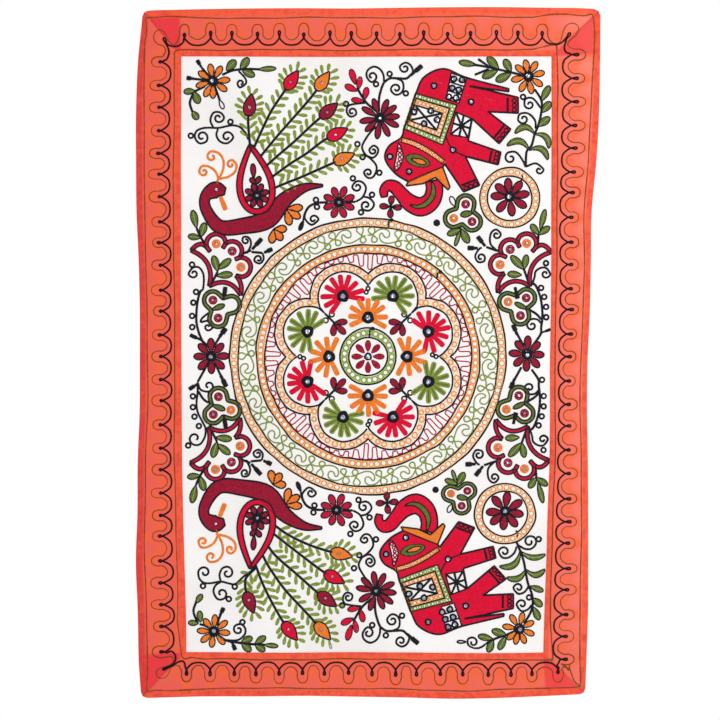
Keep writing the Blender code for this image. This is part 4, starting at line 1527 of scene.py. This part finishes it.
def sewElephant():
    # scarlet rows for the body, with the saddle cloth, bands and grids left white inside it
    facts = {
        "tail": ((508.5, 91.5), (469, 86)),
        "legs": [  # middle of the foot, where the leg points, width, and how far back its band lies
            (518, 105.3, 0, 15.5, 10.3), (504.8, 136.5, -39, 18.3, 7.5), (499.3, 158.6, -12, 12.5, 9.0),
            (471.5, 188.5, -68, 17.0, 6.5),
        ],
        "between": [
            ((487.5, 111.6),), ((472, 118.6), (468, 141)), ((465, 156.3),), ((444.5, 163.5), (442.6, 167.3)),
        ],
        "head": ((408.4, 182), (395, 173.3), (385.2, 159), (389, 146.5), (401.2, 138), (404, 129)),
        "back": ((416, 93.5), (424, 77.5), (443.5, 69), (467, 78), (508.5, 89)),
        "saddle": ((415.6, 93.4), (457, 105), (442.6, 145.2), (404, 129.2)),
        "saddleInner": ((416.2, 98.4), (449.6, 108.4), (440, 137.6), (406.8, 124.8)),
        "saddleField": ((414.4, 105), (442.5, 113.4), (436.6, 130.4), (408.8, 120.6)),
        "rump": ((451, 73), (467, 78), (459, 103.4), (446, 99)),
        "belly": ((455.8, 112), (471.8, 118.7), (468, 138), (450.3, 134.7)),
        "headband": ((398.6, 143.2), (403.3, 157), (397.8, 170.5), (394, 168.5), (396.2, 157)),
        "ringletLine": ((399, 146), (399.8, 152), (399.8, 158), (398.8, 163), (396.5, 168)),
        "collar": ((401.5, 140, 4.8), (415, 144.3, 5.2), (430, 152.5, 5.2), (443.5, 162, 4.6)),
        "tusks": (
            (406.2, 186), (408.4, 182), (425, 174.5), (442.6, 167.3), (449.8, 187), (448, 189.9),
            (435.4, 177.5), (422.7, 183.8),
        ),
        "ear": ((405.5, 157.5), (430, 164.5), 12.0),
        "shoulder": ((446, 133.5), (447, 140), (453, 150), (465, 156.3)),
    }
    body = [*facts["tail"]]
    for leg, after in zip(facts["legs"], facts["between"]):
        body += [*footCorners(*leg[:4]), *after]
    body = np.concatenate([body, smooth(facts["head"]), smooth(facts["back"])])
    gaps = [np.array(facts[name]) for name in ("saddle", "rump", "belly", "headband")]
    gaps.append(bandEdges(facts["collar"]))
    gaps.append(almond(*facts["ear"][:2], facts["ear"][2] - 1.6))
    fillShape(body, "red", -11, holes=gaps)
    sew(body, "black", 2.8, closed=True, lift=0.35)
    fillShape(facts["tusks"], "orange", 25, lift=0.8)
    sew(np.array(facts["tusks"]), "black", 2.3, closed=True, lift=1.1)
    for name in ("saddle", "saddleInner", "saddleField", "rump", "belly"):
        sew(np.array(facts[name]), "black", 2.2, closed=True, lift=0.35)
    line(facts["headband"], width=2.2, closed=True, lift=0.35)
    ringlets(smooth(facts["ringletLine"]), 4.4, 1.7, "maroon", 2.0, closed=False)
    line(facts["shoulder"], width=2.4, lift=0.35)
    outer, inner, field = (np.array(facts[name]) for name in ("saddle", "saddleInner", "saddleField"))
    for share in (0.2, 0.8):
        sew(outer + (inner - outer) * share, "lime", 1.8, closed=True, coarse=True)
        sew(inner + (field - inner) * share, "peach", 1.8, closed=True, coarse=True)
    ringlets((outer + inner) / 2, 4.6, 1.8, "moss", 1.8)
    ringlets((inner + field) / 2, 4.4, 1.9, "amber", 2.0)
    sew(field[[0, 2]], "black", 3.2)
    sew(field[[1, 3]], "black", 3.2)
    grid = np.array(facts["rump"])
    for share in (0.34, 0.67):
        sew([grid[0] + (grid[3] - grid[0]) * share, grid[1] + (grid[2] - grid[1]) * share], "black", 2.4)
    star = np.array(facts["belly"])
    for n in range(4):
        sew([star.mean(0), star[n]], "black", 3.2)
        sew([star.mean(0), (star[n] + star[n - 1]) / 2], "black", 3.2)
    sewCollar(facts["collar"])
    petal(*facts["ear"], "leaf", belly=0.45, edge=2.3)
    petal((411, 159), (426, 163.8), 4.6, "orange", edge=1.9, lift=0.8)
    for leg in facts["legs"]:
        sewFoot(*leg)


def almond(base, tip, width):
    return around(*limb(base, tip, width, 0.45))


def bandEdges(path):
    # the outline of a band given by its middle line and widths
    course = smooth(path, per=5)
    side = acrossLine(course[:, :2]) * course[:, 2:] / 2
    return np.concatenate([course[:, :2] + side, (course[:, :2] - side)[::-1]])


def sewCollar(path):
    # amber ringlets between two dark lines
    sew(bandEdges(path), "black", 2.0, closed=True, lift=0.35)
    ringlets(smooth(path)[:, :2], 4.0, 1.5, "amber", 2.2, closed=False)


def footCorners(x, y, heading, width, inward=0.0):
    # the two corners of a foot, or two points of its leg that lie inward from them
    turn = math.radians(heading)
    across = np.array([math.sin(turn), math.cos(turn)]) * width / 2
    x, y = polar(x, y, -inward, heading)
    return [(x, y) - across, (x, y) + across]


def sewFoot(x, y, heading, width, back):
    # the dark band over a foot and its three toes
    sew(footCorners(x, y, heading, width, back), "black", 3.2, lift=0.6)
    start, end = footCorners(x, y, heading, width, back * 0.36)
    for share in (0.2, 0.5, 0.8):
        circle(*(start + (end - start) * share), 2.0, "black", 1.9, stitch=3.2, lift=0.6)


def sewMedallion():
    for radius in (30.0, 22.6):
        circle(509.5, 198.2, radius, "black", 2.5, drift=0.4)
    ringletBand(509.5, 198.2, 26.3, 2.55, 6.4, "amber", "peach")
    line([(520.3, 181.4), (522.4, 178.6), (521.6, 174.4)], width=2.6)


def sewMedallionFlower():
    daisy(509.5, 197.0, (96, 52, 10, -32, -82, -130, 177, 138), 19.0, 8.4, "maroon")


def sewTrefoil(x, y, heading, eyes, leaf):
    # a looped green band of three round lobes, with a spangle in each eye that has a thread
    facts = {"eye": 10.7, "lobe": 8.8, "notch": 9.8}
    path = []
    for n, thread in enumerate(eyes):
        turn = heading + 120 * n
        eye = polar(x, y, facts["eye"], turn)
        path += [polar(*eye, facts["lobe"], turn + off) for off in (-105, -63, -21, 21, 63, 105)]
        path.append(polar(x, y, facts["notch"], turn + 60))
        if thread:
            spangle(*eye, thread)
    ribbon(path, "leaf", 3.3, closed=True)
    petal(*leaf, "leaf", edge=2.0)


def sewUpperTrefoil():
    sewTrefoil(463.8, 214.8, 80, ("red", "orange", "red"), ((473.5, 212.4), (460.7, 215.2), 6.0))
    sewPlant({
        "stems": [((459, 227), (461.3, 229.5))],
        "leaves": [
            ((461.3, 229.1), (447.3, 234.7), 6.5), ((461.3, 229.1), (468.5, 243), 7.5),
            ((460, 231), (455.1, 246), 3.8),
        ],
        "petals": [(None, (455.1, 206.8), (450.6, 196.7), 5.0)],
    })
    circle(436.7, 223, 1.7, "black", 4.6)


def sewRightTrefoil():
    sewTrefoil(518.1, 305.2, 42, ("red", "orange", "red"), ((528, 309.5), (514.8, 303), 4.5))
    sewPlant({
        "stems": [((526.5, 308.3), (536, 314), (541, 319.5))],
        "bars": [((514.8, 287), (517.6, 299), 4.4)],
    })


def sewLeftTrefoil():
    sewTrefoil(220.8, 307.7, 16, (None, "red", "red"), ((211.8, 310), (224.6, 305), 5.0))
    sewPlant({"bars": [((223.6, 299.5), (225.6, 286.8), 4.2)]})


def arch(start, end, rise):
    # a bow from one point to another; rise is how far it stands off to the left, as a share of its way
    start, end = np.array(start, float), np.array(end, float)
    t = np.linspace(0, 1, 6)[:, None]
    way = end - start
    return start + way * t + np.array([way[1], -way[0]]) * rise * 4 * t * (1 - t)


def sewLotus(x, y, heading, hand):
    # three round lobes over a bowed foot with two pointed sides; hand is 1 or -1 for which side is the longer
    facts = {
        "near": (32.4, 73), "far": (39.8, -60), "lobe": 9.8,
        "eyes": [("orange", 36.6, 26, 150, -95), ("red", 41.5, 0, 92, -105), ("orange", 42.6, -24, 80, -150)],
    }
    near, far = (polar(x, y, reach, heading + hand * turn) for reach, turn in (facts["near"], facts["far"]))
    lobes = []
    for thread, reach, turn, start, end in facts["eyes"]:
        eye = polar(x, y, reach, heading + hand * turn)
        offs = heading + hand * (turn + np.linspace(start, end, 7))
        lobes.append(polar(*eye, facts["lobe"], offs))
        spangle(*eye, thread, 4.0)
    bands = [arch((x, y), near, -0.24 * hand), arch(near, lobes[0][0], 0.13 * hand), *lobes]
    bands += [arch(lobes[2][-1], far, 0.36 * hand), arch(far, (x, y), -0.21 * hand)]
    for path in bands:
        ribbon(path, "crimson", 3.5, edge=2.0)


def sewRightLotus():
    sewLotus(529.8, 286, 118.4, 1)
    sewPlant({
        "stems": [
            ((529.3, 285), (523.8, 269.5)), ((537.7, 244.7), (538.3, 234.7)),
            ((500, 251.5), (494.7, 250), (486, 247)),
        ],
        "leaves": [
            ((523.8, 269.5), (511, 256), 7.0), ((523.8, 269.5), (526.5, 255), 6.2),
            ((521.5, 275), (507.6, 274), 6.4), ((538.3, 234.7), (531, 224.6), 6.4),
            ((538.3, 234.7), (549.4, 227), 6.2), ((540, 230), (545, 209.6), 5.4),
        ],
        "bars": [((485.3, 246.4), (477.4, 236.4), 4.2), ((478, 248.3), (467.4, 248), 4.4)],
        "scrolls": [
            (((497, 251), (490.3, 243.6), (490.8, 233.6), (496, 229.5), (500.5, 233.6)), (496.4, 235), -1),
            (((482, 247.5), (479, 249.2), (475.2, 256), (478, 262), (483.6, 261.5)), (480.8, 257.6), 1),
        ],
    })


def sewLeftLotus():
    sewLotus(209.6, 286, 56.9, -1)
    sewPlant({
        "stems": [
            ((211, 285), (212.4, 282.6), (218, 271.4)),
            ((205.5, 248), (205, 244.6), (200, 235.7), (196.7, 228)),
            ((241, 254.5), (251.4, 250.2)), ((251.4, 252), (262.6, 253)),
        ],
        "leaves": [
            ((218, 271.4), (213.5, 256), 7.0), ((218.5, 269.2), (230.8, 259.2), 6.6),
            ((216.8, 276), (232.5, 274.2), 6.6), ((196.7, 228), (192.8, 210.6), 6.8),
            ((201.2, 236.8), (205, 223), 7.0), ((200.6, 238), (188.4, 236.3), 6.0),
        ],
        "bars": [((252, 249.5), (262, 238.5), 4.2), ((264, 252.8), (272.6, 249), 4.2)],
        "scrolls": [
            (((247, 253.6), (251, 244.6), (249.2, 238), (244.2, 236.8)), (246, 240.6), 1),
            (((262.6, 253), (263.7, 259.2), (259.8, 263.6), (254.8, 261.4)), (258.6, 259.2), -1),
        ],
    })


def sewRightVine():
    sewPlant({
        "stems": [
            ((530, 284), (535, 285), (539.5, 295), (541.6, 305), (542.2, 316), (541, 327.3), (540.5, 334),
             (533.8, 344)),
            ((523.8, 346.3), (517, 334)),
        ],
        "scrolls": [
            (((532, 285), (534.4, 277), (535.5, 271.5), (540.5, 268), (546, 268.2), (550, 273.8)),
             (545.2, 274), -1),
            (((541.6, 324), (537, 319.5), (530.4, 319.5), (527, 324)), (531.8, 325.6), 1),
        ],
        "loops": [(545.8, 263.3), (540.9, 288), (544, 297), (545.9, 307), (546, 317.3)],
        "bars": [((517.1, 335), (512.8, 324.5), 4.4)],
    })


def sewLeftVine():
    sewPlant({
        "stems": [
            ((203, 290.4), (200.6, 291.5), (198, 300.4), (196.7, 311.6), (196.7, 322.8), (199.5, 334),
             (204, 344)),
            ((213.5, 347.3), (220.2, 336.2)), ((209, 347), (200.6, 339.5)),
        ],
        "scrolls": [
            (((203, 290.4), (204, 282.6), (203.4, 273.7), (199, 267.5), (192.8, 268), (189, 273.7)),
             (194, 273.6), 1),
            (((209, 312.7), (202.3, 318.3), (201.2, 322.2), (208, 321), (212.4, 326.6)), (208, 327), -1),
        ],
        "loops": [(192.3, 264.8), (196.3, 292), (193.6, 302.7), (192.3, 316), (192.4, 327.2)],
        "bars": [((201.5, 340), (190, 335), 3.6), ((219.5, 337), (226, 328), 5.0)],
    })


def sewLowerLeftVine():
    sewPlant({
        "stems": [
            ((209, 361), (206.3, 366.6), (197.7, 382.2)), ((215, 363), (221, 376)),
            ((198.2, 391), (203.9, 399.5), (211.7, 404)),
        ],
        "scrolls": [
            (((197.7, 382.2), (197.7, 393), (196.6, 402.5), (197.7, 411.9), (202.3, 421.3), (205.5, 428),
              (205.2, 436), (201, 443.5)), (195.3, 438.2), -1),
            (((198, 383), (200.5, 389.5), (206.5, 391.6)), (208.6, 386), 1),
        ],
        "loops": [(193, 396.3), (193, 407.2), (194.6, 416.6), (199, 426), (188.3, 445.5)],
        "bars": [((198.4, 383.6), (189, 389.4), 3.8), ((220.5, 375), (226.5, 387), 4.6)],
    })


def sewLowerSideVine():
    sewPlant({
        "scrolls": [
            (((255, 568.5), (243.8, 576.3), (235.5, 583.9), (228.5, 583.3), (220.8, 581.6), (210.6, 583.2),
              (203.6, 582.7), (199.3, 578.4), (198.3, 571.8)), (204.6, 572.4), -1),
            (((220.8, 581.4), (219.5, 575), (222.1, 568.6), (227.2, 566.7)), (227.4, 573), -1),
            (((220.8, 582), (215.7, 585.2), (213.4, 591.6), (217, 598.6)), (221.5, 593.5), 1),
        ],
        "loops": [(203, 586), (234.8, 586.6), (228.8, 599)],
    })


def sewField():
    # The upper half is drawn, then most of it is turned over about the middle line, group by group, for the
    # lower one: shift across, level, and how far the group is drawn together upright and across.
    both = [
        (sewPeacock, -0.8, 713.6), (sewPaisley, 0.4, 713.6), (sewLittleFlower, -2.5, 712.3),
        (sewFourPetals, -3.6, 709.6), (sewDarkFlower, -3.8, 709.1), (sewHangingScroll, -3.4, 712.3),
        (sewTrunk, -5, 725.3, 1.07, 1.0), (sewElephant, -5, 697.2, 0.915, 1.0), (sewMedallion, -4.8, 711.6),
        (sewMedallionFlower, -4.6, 708.2), (sewUpperTrefoil, 42.5, 681.5, 0.86, 0.9),
        (sewRightLotus, -2.2, 712.3), (sewRightTrefoil, -1.7, 711.3), (sewRightVine, -2.5, 713.3),
        (sewLeftLotus, -0.8, 713.3), (sewLeftTrefoil, 0.3, 714.8),
    ]
    sewing.update({"region": "upper_field", "base": "ground"})
    sewFeathers(upperFeathers)
    for motif, *_ in both:
        motif()
    sewSideVine()
    sewLeftVine()
    sewPlant({"bars": [((541.4, 332.6), (550.6, 329.4), 3.0)]})
    sewUpperLeftCorner()
    sewUpperRightCorner()
    sewing["region"] = "lower_field"
    sewFeathers(lowerFeathers)
    for motif, across, level, *drawn in both:
        sewing["turn"] = (across, level, *(drawn or (1.0, 1.0)))
        motif()
    sewing["turn"] = None
    sewLowerSideVine()
    sewLowerLeftVine()
    spangle(230.9, 410, "orange")
    loop(541.8, 379.8)
    sewLowerLeftCorner()
    sewLowerRightCorner()
    daisy(211.3, 356.3, evenTurns(8, 1), 17.4, 7.6, "maroon")
    daisy(526.9, 354, evenTurns(8, -3), 17.4, 7.6, "maroon")
    print("field drawn")


def ringNodes():
    # the buttonhole rings of the mirrors that are solids of their own
    rings = {"mirror_upper": (7.4, 16.5), "mirror_lower": (7.4, 16.5), "mirror_flower": (8.4, 19.5)}
    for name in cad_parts:
        for start, (glass, ring) in rings.items():
            if name.startswith(start):
                low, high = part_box(name)
                x, y = toChart((low[0] + high[0]) / 2, (low[2] + high[2]) / 2)
                mirrorRing(x, y, glass, ring)


def makeStudio():
    facts = {
        "floor": 3.0,
        "floorPlace": (0, -0.4, -2.35),
        "seen": 1.0,  # strength of the white surroundings as the camera sees them
        "lit": 0.58,  # and as they light the cloth
        "lamps": {"key": ((1.9, -3.4, 0.2), 80.0, 1.6), "fill": ((-2.2, -2.8, -1.6), 15.2, 2.2)},
        "aim": (0, 0, -0.78),
        "lens": 85,
        "sensor": 36,
        "camera": (-0.0254, -3.758, -0.7776),
    }
    scene = bpy.context.scene
    size = facts["floor"]
    corners = [(-size, -size, 0), (size, -size, 0), (size, size, 0), (-size, size, 0)]
    mesh = bpy.data.meshes.new("studio_floor")
    mesh.from_pydata(corners, [], [(0, 1, 2, 3)])
    mesh.materials.append(floorMaterial())
    floor = bpy.data.objects.new("studio_floor", mesh)
    floor.location = facts["floorPlace"]
    scene.collection.objects.link(floor)
    world = bpy.data.worlds.new("studio")
    world.use_nodes = True
    scene.world = world
    tree = world.node_tree
    tree.nodes.clear()
    ray = addNode(tree, "ShaderNodeLightPath", {}, {}, "Is Camera Ray")
    lit = addNode(tree, "ShaderNodeBackground", {}, {"Color": (0.97, 0.98, 1), "Strength": facts["lit"]})
    seen = addNode(tree, "ShaderNodeBackground", {}, {"Color": (1, 1, 1), "Strength": facts["seen"]})
    both = addNode(tree, "ShaderNodeMixShader", {}, {0: ray, 1: lit, 2: seen})
    addNode(tree, "ShaderNodeOutputWorld", {}, {"Surface": both})
    for name, (spot, power, wide) in facts["lamps"].items():
        data = bpy.data.lights.new(name, "AREA")
        data.energy = power
        data.size = wide
        light = bpy.data.objects.new(name, data)
        light.location = spot
        light.rotation_euler = (Vector(facts["aim"]) - Vector(spot)).to_track_quat("-Z", "Y").to_euler()
        scene.collection.objects.link(light)
    data = bpy.data.cameras.new("camera")
    data.lens = facts["lens"]
    data.sensor_width = facts["sensor"]
    camera = bpy.data.objects.new("camera", data)
    camera.location = facts["camera"]
    camera.rotation_euler = (math.pi / 2, 0, 0)
    scene.collection.objects.link(camera)
    scene.camera = camera
    scene.view_settings.view_transform = "Standard"


makeStudio()
makeGround(groundMaterial())
borderCloth = borderMaterial()
for side in ("left", "right", "top", "bottom"):
    makeStrip(side, borderCloth)
print("cloth made")
sewBorder()
sewRound()
sewField()
ringNodes()
materials = stitchPieces()
glass = mirrorMaterial()
for name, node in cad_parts.items():
    if name.startswith("mirror_"):
        node.data.materials.clear()
        node.data.materials.append(glass)
smallMirrors(mirrorRings(materials), glass)
print("mirrors set")
